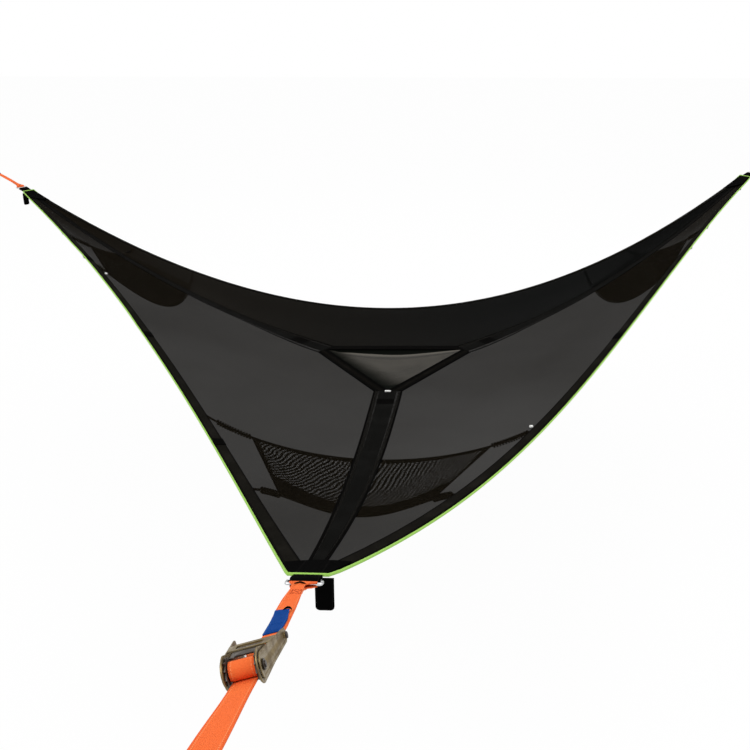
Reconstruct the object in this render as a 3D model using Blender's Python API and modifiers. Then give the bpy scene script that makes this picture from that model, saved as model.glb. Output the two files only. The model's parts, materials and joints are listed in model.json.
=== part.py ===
"""Triangle hammock hung level between three anchors, in metres, with +Z up.

The origin is the middle of the front anchor loop. +X runs to the right and +Y
from the front corner across the hammock. Soft pieces are built where they hang,
and the small metal pieces of each corner are built once and placed three times.
"""
import math

import bmesh
import bpy
from mathutils import Matrix, Vector

# Clearance between pieces that are sewn, seated or pressed on each other
GAP = 0.0003

# Hung triangle: the cloth's corners, measured from the front corner
HALF_SPAN = 2.014
CORNER_DEPTH = 3.608
CORNER_RISE = {"front": 0.0, "left": -0.050, "right": 0.059}
FLAT_END = 0.064

# Rigging line of each corner, from the cloth to the middle of its anchor loop
LINE_REACH = 0.86
LINE_SLOPE = {"front": 0.48, "left": 0.29, "right": 0.29}

# Hung shape of each edge: inward bow, sag, and how far each leans to one end
EDGE_ENDS = {"left": ("front", "left"), "right": ("front", "right"), "far": ("left", "right")}
EDGE_BOW = {"left": 0.217, "right": 0.123, "far": 0.187}
EDGE_SAG = {"left": 0.295, "right": 0.353, "far": 0.678}
EDGE_SAG_LEAN = {"left": -0.549, "right": -0.364, "far": 0.110}
EDGE_BOW_LEAN = {"left": -0.154, "right": 0.040, "far": -0.002}
EDGE_SAG_SPREAD = {"left": 0.131, "right": -0.116, "far": -0.003}

# Hatch opening: its three vertices, measured from the front corner
HATCH_VERTEX = {
    "front": (0.091, 1.945, -0.522),
    "left": (-0.213, 2.549, -0.583),
    "right": (0.424, 2.521, -0.563),
}
RIM_NOSE = 0.008
STRAP_SAG = {"front": 0.075, "left": 0.099, "right": 0.121}

# Webbing and cloth
STRAP_CORNER_WIDTH = 0.030
STRAP_HATCH_WIDTH = 0.118
STRAP_SWELL = 0.009
BAND_WIDTH = 0.033
WEBBING_THICKNESS = 0.003
PANEL_THICKNESS = 0.0012
PANEL_DROOP = 0.035
PANEL_TIP = 0.0015
PIPING_RADIUS = 0.003
COVER_THICKNESS = 0.001
COVER_LAP = 0.018
COVER_DROOP = 0.030
COVER_TIP = 0.030
SEAM_GAP = 0.0006

# Shares of an edge that face the hatch rim instead of a strap, and the rows of
# vertices that every piece of the cloth shares
RIM_FROM = 0.44
RIM_TO = 0.56
STRAP_ROWS = 10
RIM_ROWS = 3

# Gear pockets slung under the cloth at each corner
# Each cord: its share along the edges, its sag, its bow towards the hatch, and
# how much its sag gathers in the middle
POCKET_MOUTH = {"front": (0.368, 0.220, 0.046, 0.79), "left": (0.232, 0.200, 0.155, 1.2),
                "right": (0.210, 0.225, 0.055, 1.0)}
POCKET_LOWER = {"front": (0.182, 0.165, 0.150, 1.5), "left": (0.148, 0.055, 0.080, 1.15),
                "right": (0.152, 0.055, 0.030, 0.9)}
POCKET_MOUTH_FROM = {"front": 0.159, "left": 0.110, "right": 0.125}
POCKET_LOWER_FROM = {"front": 0.140, "left": 0.250, "right": 0.190}
POCKET_BELLY = 0.05
POCKET_THICKNESS = 0.0012
CORD_RADIUS = 0.0035
CORD_DROP = 0.012
CORD_STEPS = 18
CLIP_LENGTH = 0.030
CLIP_WALL = 0.003

# Corner loop, ring and hanging tail
LOOP_WIDTH = 0.050
LOOP_THICKNESS = 0.0022
RING_NEAR = 0.050
RING_FAR = 0.074
RING_HALF_WIDTH = 0.0290
RING_CORNER = 0.0035
RING_ROD = 0.0025
TAIL_WIDTH = 0.033
TAIL_LENGTH = 0.066
TAIL_THICKNESS = 0.003
TAIL_OFFSET = -0.0265
TAIL_SETBACK = 0.002

# Sling webbing, sewn round the ring and the ratchet's bolt, and its tab
SLING_WIDTH = 0.028
SLING_MOUTH_WIDTH = 0.046
SLING_THICKNESS = 0.0016
SLING_LAP_END = 0.135
LAYER_GAP = 0.0005
EYE_LAP = 0.045
TWIST_FROM = 0.12
TWIST_TO = 0.42
TWIST = math.radians(16)
TAB_FROM = 0.265
TAB_TO = 0.385
TAB_WIDTH = 0.024
TAB_SHIFT = 0.003
TAB_THICKNESS = 0.0012
TAB_CURL = 0.005

# Drum: spindle, wheels and the tree strap wound on the mandrel
SPINDLE_AT = 0.566
ROLL_TURNS = 2
ROLL_PITCH = SLING_THICKNESS + LAYER_GAP
MANDREL_RADIUS = 0.0055
ROLL_RADIUS = MANDREL_RADIUS + LAYER_GAP + SLING_THICKNESS / 2 + ROLL_TURNS * ROLL_PITCH
SHAFT_RADIUS = 0.0035
WHEEL_TEETH = 11
WHEEL_TIP = 0.0165
WHEEL_ROOT = 0.0130
WHEEL_INNER = SLING_WIDTH / 2 + 0.001
WHEEL_THICKNESS = 0.002
SLOT_HEIGHT = 0.0024

# Ratchet frame, from its inner faces outwards
SHEET_METAL = 0.0015
FRAME_INNER = WHEEL_INNER + WHEEL_THICKNESS + 0.0007
FRAME_OUTER = FRAME_INNER + SHEET_METAL
FRAME_HEAD = 0.0185
FRAME_TOE = 0.009
BOLT_Y = 0.083
BOLT_Z = -0.008
BOLT_RADIUS = 0.003
BOLT_HEAD_RADIUS = 0.0055
BOLT_HEAD_HEIGHT = 0.0035
HOLE_PLAY = 0.0003
FRAME_WEB_FROM = 0.020
FRAME_WEB_TO = 0.072
FRAME_WEB_Z = -0.0150

# Ratchet handle, closed over the frame, its arms spread towards the grip
HANDLE_INNER = FRAME_OUTER + 0.0005
HANDLE_OUTER = HANDLE_INNER + SHEET_METAL
HANDLE_SPREAD = 0.0085
HANDLE_HEAD = 0.014
HANDLE_TOE = 0.0085
HANDLE_REACH = 0.100
HANDLE_LIFT = 0.0015
HANDLE_WEB_FROM = 0.038
HANDLE_WEB_TO = 0.060
HANDLE_WEB_Z = 0.0112
GRIP_RADIUS = 0.0035
GRIP_HALF_WIDTH = HANDLE_OUTER + HANDLE_SPREAD + 0.0013
SHAFT_HALF_LENGTH = HANDLE_OUTER + 0.003

# Pawls: plates that ride under the handle's web and on the frame's web
PAWL_THICKNESS = 0.002
PAWL_HALF_WIDTH = FRAME_INNER - 0.0007
PAWL_CLEAR = 0.0004
DRIVE_PAWL_END = 0.056
LOCK_PAWL_END = 0.045

# Tree strap: wound on the drum at one end, its anchor loop at the other
UNTWIST_FROM = 0.60
UNTWIST_TO = 0.76
ANCHOR_HALF_LENGTH = 0.030
ANCHOR_HALF_HEIGHT = 0.020
ANCHOR_FLAT = 0.009
ANCHOR_LAP = 0.050

# Colours as red, green and blue, then roughness and metallic
FINISHES = {
    "mesh_cloth": ((0.045, 0.040, 0.034), 0.85, 0.0),
    "black_webbing": ((0.008, 0.008, 0.009), 0.75, 0.0),
    "green_piping": ((0.30, 0.60, 0.09), 0.55, 0.0),
    "hatch_cloth": ((0.16, 0.15, 0.13), 0.8, 0.0),
    "pocket_mesh": ((0.012, 0.012, 0.012), 0.85, 0.0),
    "rope": ((0.010, 0.010, 0.010), 0.8, 0.0),
    "orange_webbing": ((0.90, 0.17, 0.045), 0.65, 0.0),
    "blue_tab": ((0.012, 0.09, 0.36), 0.55, 0.0),
    "steel": ((0.62, 0.63, 0.64), 0.3, 1.0),
    "khaki_plate": ((0.21, 0.17, 0.075), 0.42, 0.8),
    "dark_steel": ((0.06, 0.055, 0.05), 0.45, 0.9),
    "white_clip": ((0.75, 0.75, 0.73), 0.4, 0.0),
}

CORNERS = ("front", "left", "right")
DOWN = Vector((0.0, 0.0, -1.0))
UP = Vector((0.0, 0.0, 1.0))


def clear_scene():
    """Remove every object that the scene holds."""
    for obj in list(bpy.data.objects):
        bpy.data.objects.remove(obj, do_unlink=True)


def collection(name):
    """A collection of the scene, made once."""
    group = bpy.data.collections.get(name)
    if group is None:
        group = bpy.data.collections.new(name)
        bpy.context.scene.collection.children.link(group)
    return group


def finish(name):
    """The Principled material of one finish, made once."""
    material = bpy.data.materials.get(name)
    if material is None:
        colour, roughness, metallic = FINISHES[name]
        material = bpy.data.materials.new(name)
        material.use_nodes = True
        shader = material.node_tree.nodes["Principled BSDF"]
        shader.inputs["Base Color"].default_value = (*colour, 1.0)
        shader.inputs["Roughness"].default_value = roughness
        shader.inputs["Metallic"].default_value = metallic
        material.diffuse_color = (*colour, 1.0)
    return material


def add_object(name, data, finish_name):
    """Link an object for the data under the hammock's collection."""
    obj = bpy.data.objects.new(name, data)
    data.materials.append(finish(finish_name))
    collection("triangle_hammock").objects.link(obj)
    return obj


def smooth_step(share):
    """Ease from 0 to 1 as the share goes from 0 to 1."""
    share = min(max(share, 0.0), 1.0)
    return share * share * (3.0 - 2.0 * share)


def across(vector, direction):
    """The part of a vector that is square to a unit direction."""
    return vector - direction * vector.dot(direction)


# The hung shape: corners, edges, straps and hatch

def corner_point(corner):
    """Middle of the flat end of the cloth at one corner."""
    slope = LINE_SLOPE["front"]
    front = Vector((0.0, 1.0, -slope)).normalized() * LINE_REACH
    offset = {
        "front": Vector((0.0, 0.0, 0.0)),
        "left": Vector((-HALF_SPAN, CORNER_DEPTH, 0.0)),
        "right": Vector((HALF_SPAN, CORNER_DEPTH, 0.0)),
    }
    return front + offset[corner] + UP * CORNER_RISE[corner]


def middle_point():
    """Centre of the three corners."""
    return sum((corner_point(corner) for corner in CORNERS), Vector()) / 3


def outward(corner):
    """Level unit vector from the middle of the hammock through a corner."""
    away = corner_point(corner) - middle_point()
    away.z = 0.0
    return away.normalized()


def flat_end_point(corner, other):
    """End of the corner's flat end that faces another corner."""
    side = outward(corner).cross(UP)
    if (corner_point(other) - corner_point(corner)).dot(side) < 0:
        side = -side
    return corner_point(corner) + side * (FLAT_END / 2)


def edge_point(edge, share):
    """Point of a hung edge, at a share of its way from its first corner."""
    first, second = EDGE_ENDS[edge]
    start = flat_end_point(first, second)
    end = flat_end_point(second, first)
    inward = middle_point() - (corner_point(first) + corner_point(second)) / 2
    inward.z = 0.0
    arch = 4 * share * (1 - share)
    lean = 2 * share - 1
    bow = EDGE_BOW[edge] * arch * (1 + EDGE_BOW_LEAN[edge] * lean)
    sag = EDGE_SAG[edge] * arch * (1 + EDGE_SAG_LEAN[edge] * lean + EDGE_SAG_SPREAD[edge] * lean * lean)
    return start.lerp(end, share) + inward.normalized() * bow + DOWN * sag


def edge_tangent(edge, share):
    """Unit direction of a hung edge."""
    step = 0.002
    before = edge_point(edge, max(share - step, 0.0))
    after = edge_point(edge, min(share + step, 1.0))
    return (after - before).normalized()


def hatch_vertex(corner):
    """Vertex of the hatch opening that points to a corner."""
    return corner_point("front") + Vector(HATCH_VERTEX[corner])


def hatch_middle():
    """Centre of the hatch opening."""
    return sum((hatch_vertex(corner) for corner in CORNERS), Vector()) / 3


def hatch_normal():
    """Upward unit normal of the hatch opening."""
    left = hatch_vertex("left") - hatch_vertex("front")
    right = hatch_vertex("right") - hatch_vertex("front")
    normal = right.cross(left).normalized()
    return normal if normal.z > 0 else -normal


def hatch_reach(corner):
    """Unit vector in the hatch's plane, from its middle to a vertex."""
    return (hatch_vertex(corner) - hatch_middle()).normalized()


def rim_corner(corner, other):
    """Outer corner of the hatch rim at a strap, on the side of another corner."""
    side = hatch_normal().cross(hatch_reach(corner))
    if (hatch_vertex(other) - hatch_vertex(corner)).dot(side) < 0:
        side = -side
    nose = hatch_vertex(corner) + hatch_reach(corner) * RIM_NOSE
    return nose + side * (STRAP_HATCH_WIDTH / 2)


def strap_point(corner, share):
    """Centre line of a strap, from its corner to the hatch rim."""
    start = corner_point(corner)
    end = hatch_vertex(corner) + hatch_reach(corner) * (RIM_NOSE + GAP)
    return start.lerp(end, share) + DOWN * (STRAP_SAG[corner] * 4 * share * (1 - share))


def strap_half_width(share):
    """Half of a strap's width, which grows from its corner to the hatch."""
    straight = STRAP_CORNER_WIDTH + (STRAP_HATCH_WIDTH - STRAP_CORNER_WIDTH) * share
    return (straight + STRAP_SWELL * 4 * share * (1 - share)) / 2


def strap_side(corner, other, share):
    """Unit direction across a strap, towards the edge shared with another corner."""
    step = 0.002
    before = strap_point(corner, max(share - step, 0.0))
    tangent = (strap_point(corner, min(share + step, 1.0)) - before).normalized()
    edge, from_start = edge_between(corner, other)
    edge_share = RIM_FROM * share if from_start else 1 - RIM_FROM * share
    to_edge = across(edge_point(edge, edge_share) - strap_point(corner, share), tangent).normalized()
    in_rim = (rim_corner(corner, other) - rim_corner(corner, third_corner(corner, other))).normalized()
    blend = smooth_step((share - 0.75) / 0.25)
    return to_edge.lerp(in_rim, blend).normalized()


def third_corner(first, second):
    """The corner that is neither of two."""
    return next(corner for corner in CORNERS if corner not in (first, second))


def edge_between(corner, other):
    """The edge of two corners, and whether it starts at the first of them."""
    for edge, ends in EDGE_ENDS.items():
        if set(ends) == {corner, other}:
            return edge, ends[0] == corner
    raise ValueError("no edge between these corners")


def seam_point(edge, share):
    """Point of the strap's or rim's outer side that faces an edge's point."""
    first, second = EDGE_ENDS[edge]
    if share <= RIM_FROM:
        along = share / RIM_FROM
        side = strap_side(first, second, along)
        return strap_point(first, along) + side * strap_half_width(along)
    if share >= RIM_TO:
        along = (1 - share) / (1 - RIM_TO)
        side = strap_side(second, first, along)
        return strap_point(second, along) + side * strap_half_width(along)
    along = (share - RIM_FROM) / (RIM_TO - RIM_FROM)
    return rim_corner(first, second).lerp(rim_corner(second, first), along)


def row_shares():
    """Shares of an edge at which the pieces of the cloth have their rows."""
    first = [RIM_FROM * i / STRAP_ROWS for i in range(STRAP_ROWS)]
    middle = [RIM_FROM + (RIM_TO - RIM_FROM) * i / RIM_ROWS for i in range(RIM_ROWS)]
    last = [RIM_TO + (1 - RIM_TO) * i / STRAP_ROWS for i in range(STRAP_ROWS + 1)]
    return first + middle + last


def seam_tangent(edge, share):
    """Unit direction of the strap's or rim's side that faces an edge."""
    step = 0.002
    low = min(max(share - step, 0.0), 1.0 - 2 * step)
    return (seam_point(edge, low + 2 * step) - seam_point(edge, low)).normalized()


def cloth_rows(edge):
    """Rows across the cloth: outer and inner side of the band, then of the panel."""
    rows = []
    for share in row_shares():
        start, end = edge_point(edge, share), seam_point(edge, share)
        way = (end - start).normalized()
        edge_lean = across(way, edge_tangent(edge, share)).length
        seam_lean = across(way, seam_tangent(edge, share)).length
        room = (end - start).length - GAP / seam_lean
        band = min(BAND_WIDTH / edge_lean, room)
        rows.append((start, start + way * band, start + way * (band + SEAM_GAP / edge_lean),
                     end - way * (SEAM_GAP / seam_lean)))
    return rows


def between_rows(rows, place):
    """The row at a place counted in rows, straight between its neighbours."""
    index = min(int(place), len(rows) - 2)
    return [before.lerp(after, place - index) for before, after in zip(rows[index], rows[index + 1])]


def panel_places(rows):
    """Places of a panel's rows, its first and last where it is wide enough to cut."""
    def wide(place):
        _, _, outer, inner = between_rows(rows, place)
        start, _, _, _ = between_rows(rows, place)
        return (inner - start).length - (outer - start).length > PANEL_TIP

    def tip(low, high):
        for _ in range(30):
            middle = (low + high) / 2
            low, high = (low, middle) if wide(middle) else (middle, high)
        return high

    last = len(rows) - 1
    first_tip, last_tip = tip(0.0, last / 2), tip(float(last), last / 2)
    inside = [place for place in range(last + 1) if first_tip + 0.1 < place < last_tip - 0.1]
    return [first_tip] + inside + [last_tip]


# Builders for cloth, webbing, cord and metal

def grid_object(name, along, over, place, finish_name, thickness):
    """A grid of faces, each vertex put where place says, with a thickness."""
    mesh = bpy.data.meshes.new(name)
    shape = bmesh.new()
    bmesh.ops.create_grid(shape, x_segments=along, y_segments=over, size=0.5)
    for vertex in shape.verts:
        vertex.co = place(vertex.co.x + 0.5, vertex.co.y + 0.5)
    shape.to_mesh(mesh)
    shape.free()
    mesh.shade_smooth()
    obj = add_object(name, mesh, finish_name)
    solid = obj.modifiers.new("thickness", "SOLIDIFY")
    solid.thickness = thickness
    solid.offset = 0.0
    solid.use_even_offset = True
    return obj


def ribbon(name, stations, finish_name, thickness):
    """Webbing through stations, each a centre, a side vector and a half width."""
    last = len(stations) - 1

    def place(along, over):
        centre, side, half = stations[round(along * last)]
        return centre + side * (half * (2 * over - 1))

    return grid_object(name, last, 1, place, finish_name, thickness)


def tube(name, points, radius, finish_name, closed=False, sides=1):
    """A round cord or rod through the points."""
    curve = bpy.data.curves.new(name, "CURVE")
    curve.dimensions = "3D"
    curve.bevel_depth = radius
    curve.bevel_resolution = sides
    curve.use_fill_caps = not closed
    spline = curve.splines.new("POLY")
    spline.points.add(len(points) - 1)
    for target, point in zip(spline.points, points):
        target.co = (*point, 1.0)
    spline.use_cyclic_u = closed
    return add_object(name, curve, finish_name)


def flat_outline(name, outlines, thickness, finish_name):
    """A flat plate from closed outlines in its own X and Y, holes among them."""
    curve = bpy.data.curves.new(name, "CURVE")
    curve.dimensions = "2D"
    curve.fill_mode = "BOTH"
    curve.extrude = thickness / 2
    for outline in outlines:
        spline = curve.splines.new("POLY")
        spline.points.add(len(outline) - 1)
        for target, (x, y) in zip(spline.points, outline):
            target.co = (x, y, 0.0, 1.0)
        spline.use_cyclic_u = True
    return add_object(name, curve, finish_name)


def arc(centre, radius, start, end, steps):
    """Points of an arc in a plane, its angles in radians."""
    angles = [start + (end - start) * step / steps for step in range(steps + 1)]
    return [(centre[0] + radius * math.cos(a), centre[1] + radius * math.sin(a)) for a in angles]


def arm_outline(head, toe, toe_at):
    """Outline of a plate that runs from a round head at the origin to a round toe."""
    span = math.hypot(*toe_at)
    tilt = math.atan2(toe_at[1], toe_at[0])
    lean = math.acos((head - toe) / span)
    back = arc((0.0, 0.0), head, tilt + lean, tilt + 2 * math.pi - lean, 14)
    front = arc(toe_at, toe, tilt - lean, tilt + lean, 8)
    return back + front


def circle(centre, radius, steps):
    """Outline of a round hole."""
    return arc(centre, radius, 0.0, 2 * math.pi * (steps - 1) / steps, steps - 1)


def to_mesh_object(obj):
    """Turn a curve object, or one with modifiers, into a welded mesh in world places."""
    bpy.context.view_layer.update()
    evaluated = obj.evaluated_get(bpy.context.evaluated_depsgraph_get())
    mesh = bpy.data.meshes.new_from_object(evaluated)
    mesh.transform(obj.matrix_world)
    shape = bmesh.new()
    shape.from_mesh(mesh)
    bmesh.ops.remove_doubles(shape, verts=shape.verts, dist=0.00001)
    shape.to_mesh(mesh)
    shape.free()
    name = obj.name
    bpy.data.objects.remove(obj, do_unlink=True)
    solid = bpy.data.objects.new(name, mesh)
    collection("triangle_hammock").objects.link(solid)
    return solid


def box(name, low, high, finish_name):
    """A box between two corners."""
    mesh = bpy.data.meshes.new(name)
    shape = bmesh.new()
    bmesh.ops.create_cube(shape, size=1.0)
    for vertex in shape.verts:
        vertex.co = Vector([(low[i] + high[i]) / 2 + vertex.co[i] * (high[i] - low[i]) for i in range(3)])
    shape.to_mesh(mesh)
    shape.free()
    return add_object(name, mesh, finish_name)


def rod_x(name, centre, radius, half_length, finish_name, sides=16):
    """A cylinder along the local X axis, its centre given in Y and Z."""
    mesh = bpy.data.meshes.new(name)
    shape = bmesh.new()
    turn = Matrix.Rotation(math.pi / 2, 4, "Y")
    bmesh.ops.create_cone(shape, cap_ends=True, segments=sides, radius1=radius, radius2=radius,
                          depth=2 * half_length, matrix=turn)
    bmesh.ops.translate(shape, vec=(0.0, *centre), verts=shape.verts)
    shape.to_mesh(mesh)
    shape.free()
    return add_object(name, mesh, finish_name)


def side_plate(name, outlines, inner, outer, finish_name):
    """A plate in the local Y-Z plane, between two distances along X."""
    plate = flat_outline(name, outlines, abs(outer - inner), finish_name)
    stand = Matrix(((0, 0, 1, 0), (1, 0, 0, 0), (0, 1, 0, 0), (0, 0, 0, 1)))
    plate.matrix_world = Matrix.Translation(((inner + outer) / 2, 0.0, 0.0)) @ stand
    return to_mesh_object(plate)


def combine(base, tools, operation):
    """Join tools to a base, or cut them from it, and remove them."""
    group = collection("cutters")
    for tool in tools:
        for holder in list(tool.users_collection):
            holder.objects.unlink(tool)
        group.objects.link(tool)
        tool.hide_render = True
        tool.display_type = "WIRE"
        step = base.modifiers.new(operation.lower(), "BOOLEAN")
        step.operation = operation
        step.solver = "EXACT"
        step.object = tool
    result = to_mesh_object(base)
    for tool in tools:
        bpy.data.objects.remove(tool, do_unlink=True)
    return result


def place_copies(prototype, name, finish_name, placement):
    """Put one object of the prototype's mesh at each corner, and remove it."""
    mesh = prototype.data
    mesh.materials.clear()
    mesh.materials.append(finish(finish_name))
    mesh.shade_smooth()
    mesh.set_sharp_from_angle(angle=math.radians(35))
    bpy.data.objects.remove(prototype, do_unlink=True)
    for corner in CORNERS:
        obj = bpy.data.objects.new(f"{name}_{corner}", mesh)
        collection("triangle_hammock").objects.link(obj)
        obj.matrix_world = placement(corner)


# Frames of the rigging lines

def line_frame(corner):
    """Matrix of a corner's line: X across it, Y out along it, Z up from it."""
    along = (outward(corner) + UP * LINE_SLOPE[corner]).normalized()
    side = along.cross(UP).normalized()
    up = side.cross(along)
    turn = Matrix((side, along, up)).transposed().to_4x4()
    return Matrix.Translation(corner_point(corner)) @ turn


def twist_at(reach):
    """Turn of the webbing about the line, at a distance from the corner."""
    wound = smooth_step((reach - TWIST_FROM) / (TWIST_TO - TWIST_FROM))
    freed = smooth_step((reach - UNTWIST_FROM) / (UNTWIST_TO - UNTWIST_FROM))
    return TWIST * (wound - freed)


def line_station(corner, reach, height, half, shift=0.0):
    """A station of webbing on a line, turned by the line's twist."""
    frame = line_frame(corner) @ Matrix.Rotation(twist_at(reach), 4, "Y")
    side = frame.to_3x3() @ Vector((1.0, 0.0, 0.0))
    return frame @ Vector((shift, reach, height)), side, half


def ratchet_frame(corner):
    """Matrix of a corner's ratchet: origin on the spindle, Y back to the cloth."""
    turned = line_frame(corner) @ Matrix.Rotation(TWIST, 4, "Y")
    spindle = Matrix.Translation((0.0, SPINDLE_AT, ROLL_RADIUS))
    return turned @ spindle @ Matrix.Rotation(math.pi, 4, "Z")


# The cloth

def build_panels():
    """The three floor panels between the bands, the straps and the hatch rim."""
    cells = 5
    for edge in EDGE_ENDS:
        rows = cloth_rows(edge)
        places = panel_places(rows)
        count = len(places) - 1

        def place(along, over, rows=rows, places=places, count=count):
            at = places[round(along * count)]
            _, _, outer, inner = between_rows(rows, at)
            share = at / (len(rows) - 1)
            droop = PANEL_DROOP * math.sin(math.pi * over) ** 2 * math.sin(math.pi * share)
            return outer.lerp(inner, over) + DOWN * droop

        grid_object(f"floor_panel_{edge}", count, cells, place, "mesh_cloth", PANEL_THICKNESS)


def build_bands():
    """The webbing band along each edge of the cloth."""
    for edge in EDGE_ENDS:
        rows = cloth_rows(edge)
        count = len(rows) - 1

        def place(along, over, rows=rows, count=count):
            outer, inner, _, _ = rows[round(along * count)]
            return outer.lerp(inner, over)

        grid_object(f"edge_band_{edge}", count, 1, place, "black_webbing", WEBBING_THICKNESS)


def piping_run(edge):
    """Centre line of the piping along one edge, outside its band."""
    ends = EDGE_ENDS[edge]
    run = []
    for share, (outer, inner, _, _) in zip(row_shares(), cloth_rows(edge)):
        out = -across(inner - outer, edge_tangent(edge, share)).normalized()
        if share in (0.0, 1.0):
            out = out + outward(ends[0] if share == 0.0 else ends[1])
        run.append(outer + out * (PIPING_RADIUS + GAP))
    return run


def build_piping():
    """The piping that runs once round the cloth."""
    points = piping_run("left") + piping_run("far") + piping_run("right")[::-1]
    tube("edge_piping", points, PIPING_RADIUS, "green_piping", closed=True)


def build_straps():
    """The three straps from the corners to the hatch rim."""
    for corner in CORNERS:
        one, two = [other for other in CORNERS if other != corner]

        def place(along, over, corner=corner, one=one, two=two):
            centre = strap_point(corner, along)
            half = strap_half_width(along)
            if over < 0.25:
                return centre + strap_side(corner, one, along) * half
            if over > 0.75:
                return centre + strap_side(corner, two, along) * half
            return centre

        grid_object(f"centre_strap_{corner}", STRAP_ROWS, 2, place, "black_webbing", WEBBING_THICKNESS)


def hatch_frame():
    """Matrix of the hatch's plane, with Y towards the front vertex."""
    toward = hatch_reach("front")
    normal = hatch_normal()
    side = toward.cross(normal)
    return Matrix.Translation(hatch_middle()) @ Matrix((side, toward, normal)).transposed().to_4x4()


def build_hatch():
    """The webbing rim of the hatch and the cover that hangs from its far side."""
    frame = hatch_frame()
    inverse = frame.inverted()
    outer = []
    for corner, other in (("front", "right"), ("right", "front"), ("right", "left"),
                          ("left", "right"), ("left", "front"), ("front", "left")):
        outer.append((inverse @ rim_corner(corner, other)).xy)
    inner = [(inverse @ hatch_vertex(corner)).xy for corner in CORNERS]
    rim = flat_outline("hatch_rim", [outer, inner], WEBBING_THICKNESS, "black_webbing")
    rim.matrix_world = frame

    under = hatch_normal() * (WEBBING_THICKNESS / 2 + GAP + COVER_THICKNESS / 2)
    hinge_left, hinge_right = [hatch_vertex(corner) + hatch_reach(corner) * (2 * COVER_LAP)
                               for corner in ("left", "right")]
    nose = 2 * COVER_LAP - COVER_TIP / (2 * math.tan(math.radians(30)))
    tip = hatch_vertex("front") + hatch_reach("front") * nose
    side = (hinge_right - hinge_left).normalized()

    def place(along, over):
        far = hinge_left.lerp(hinge_right, along)
        near = tip + side * (COVER_TIP * (along - 0.5))
        belly = math.sin(math.pi * along) * math.sin(math.pi * over)
        return far.lerp(near, over) - under - hatch_normal() * (COVER_DROOP * belly)

    grid_object("hatch_cover", 8, 6, place, "hatch_cloth", COVER_THICKNESS)


# The gear pockets

def band_under(corner, other, share):
    """Point under the middle of the band, and the unit direction away from it."""
    edge, from_start = edge_between(corner, other)
    rows = cloth_rows(edge)
    place = (share if from_start else 1 - share) * (len(rows) - 1)
    outer, inner, _, _ = between_rows(rows, place)
    index = min(int(place), len(rows) - 2)
    run = rows[index + 1][0] - rows[index][0]
    normal = (inner - outer).cross(run).normalized()
    if normal.z > 0:
        normal = -normal
    return (outer + inner) / 2 + normal * (WEBBING_THICKNESS / 2 + SEAM_GAP), normal


def pocket_line(corner, values):
    """The hanging curve of a pocket cord, as a function of its share."""
    share, sag, push, gather = values
    one, two = [other for other in CORNERS if other != corner]
    start, start_down = band_under(corner, one, share)
    end, end_down = band_under(corner, two, share)
    first = start + start_down * CORD_DROP
    last = end + end_down * CORD_DROP
    inward = -outward(corner)

    def at(along):
        arch = 4 * along * (1 - along)
        return first.lerp(last, along) + DOWN * (sag * arch ** gather) + inward * (push * arch)

    return at, start, end


def build_pockets():
    """Each corner's pocket, with a cord along its mouth and one along its lower border."""
    for corner in CORNERS:
        mouth, mouth_start, mouth_end = pocket_line(corner, POCKET_MOUTH[corner])
        lower, lower_start, lower_end = pocket_line(corner, POCKET_LOWER[corner])
        for kind, line, start, end in (("mouth", mouth, mouth_start, mouth_end),
                                       ("lower", lower, lower_start, lower_end)):
            points = [start] + [line(i / CORD_STEPS) for i in range(CORD_STEPS + 1)] + [end]
            tube(f"pocket_{kind}_cord_{corner}", points, CORD_RADIUS, "rope")

        def place(along, over, corner=corner, mouth=mouth, lower=lower):
            mouth_from, lower_from = POCKET_MOUTH_FROM[corner], POCKET_LOWER_FROM[corner]
            top = mouth(mouth_from + (1 - 2 * mouth_from) * along)
            bottom = lower(lower_from + (1 - 2 * lower_from) * along)
            way = bottom - top
            inset = (CORD_RADIUS + GAP + POCKET_THICKNESS / 2) / way.length
            spot = top + way * (inset + (1 - 2 * inset) * over)
            return spot + DOWN * (POCKET_BELLY * math.sin(math.pi * over) * math.sin(math.pi * along))

        grid_object(f"pocket_{corner}", 12, 5, place, "pocket_mesh", POCKET_THICKNESS)


def build_clips():
    """The clip that closes on each pocket's mouth cord beside the edge."""
    for corner in CORNERS:
        line, _, _ = pocket_line(corner, POCKET_MOUTH[corner])
        end = 0.0 if corner == "left" else 1.0
        before, after = sorted((end, abs(end - 1 / CORD_STEPS)))
        centre = (line(before) + line(after)) / 2
        axis = (line(after) - line(before)).normalized()
        side = axis.cross(UP).normalized()
        bore = CORD_RADIUS + GAP * 2
        outer = bore + CLIP_WALL
        outlines = [circle((0.0, 0.0), outer, 12), circle((0.0, 0.0), bore, 12)]
        clip = flat_outline(f"pocket_clip_{corner}", outlines, CLIP_LENGTH, "white_clip")
        clip.matrix_world = Matrix.Translation(centre) @ Matrix((side, axis.cross(side), axis)).transposed().to_4x4()


# The corner hardware

def build_corner_loops():
    """The webbing loop that holds the ring at each corner."""
    wrap = RING_ROD + GAP + LOOP_THICKNESS / 2
    start = 2 * PIPING_RADIUS + 3 * GAP
    close = LOOP_THICKNESS / 2 + LAYER_GAP
    bend = arc((RING_NEAR, 0.0), wrap, math.pi / 2, -math.pi / 2, 8)
    path = [(start, close), (start + 0.012, close), (RING_NEAR - 0.010, wrap)] + bend
    path += [(RING_NEAR - 0.010, -wrap), (start + 0.012, -close), (start, -close)]
    for corner in CORNERS:
        stations = [line_station(corner, reach, height, LOOP_WIDTH / 2) for reach, height in path]
        ribbon(f"corner_loop_{corner}", stations, "black_webbing", LOOP_THICKNESS)


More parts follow.
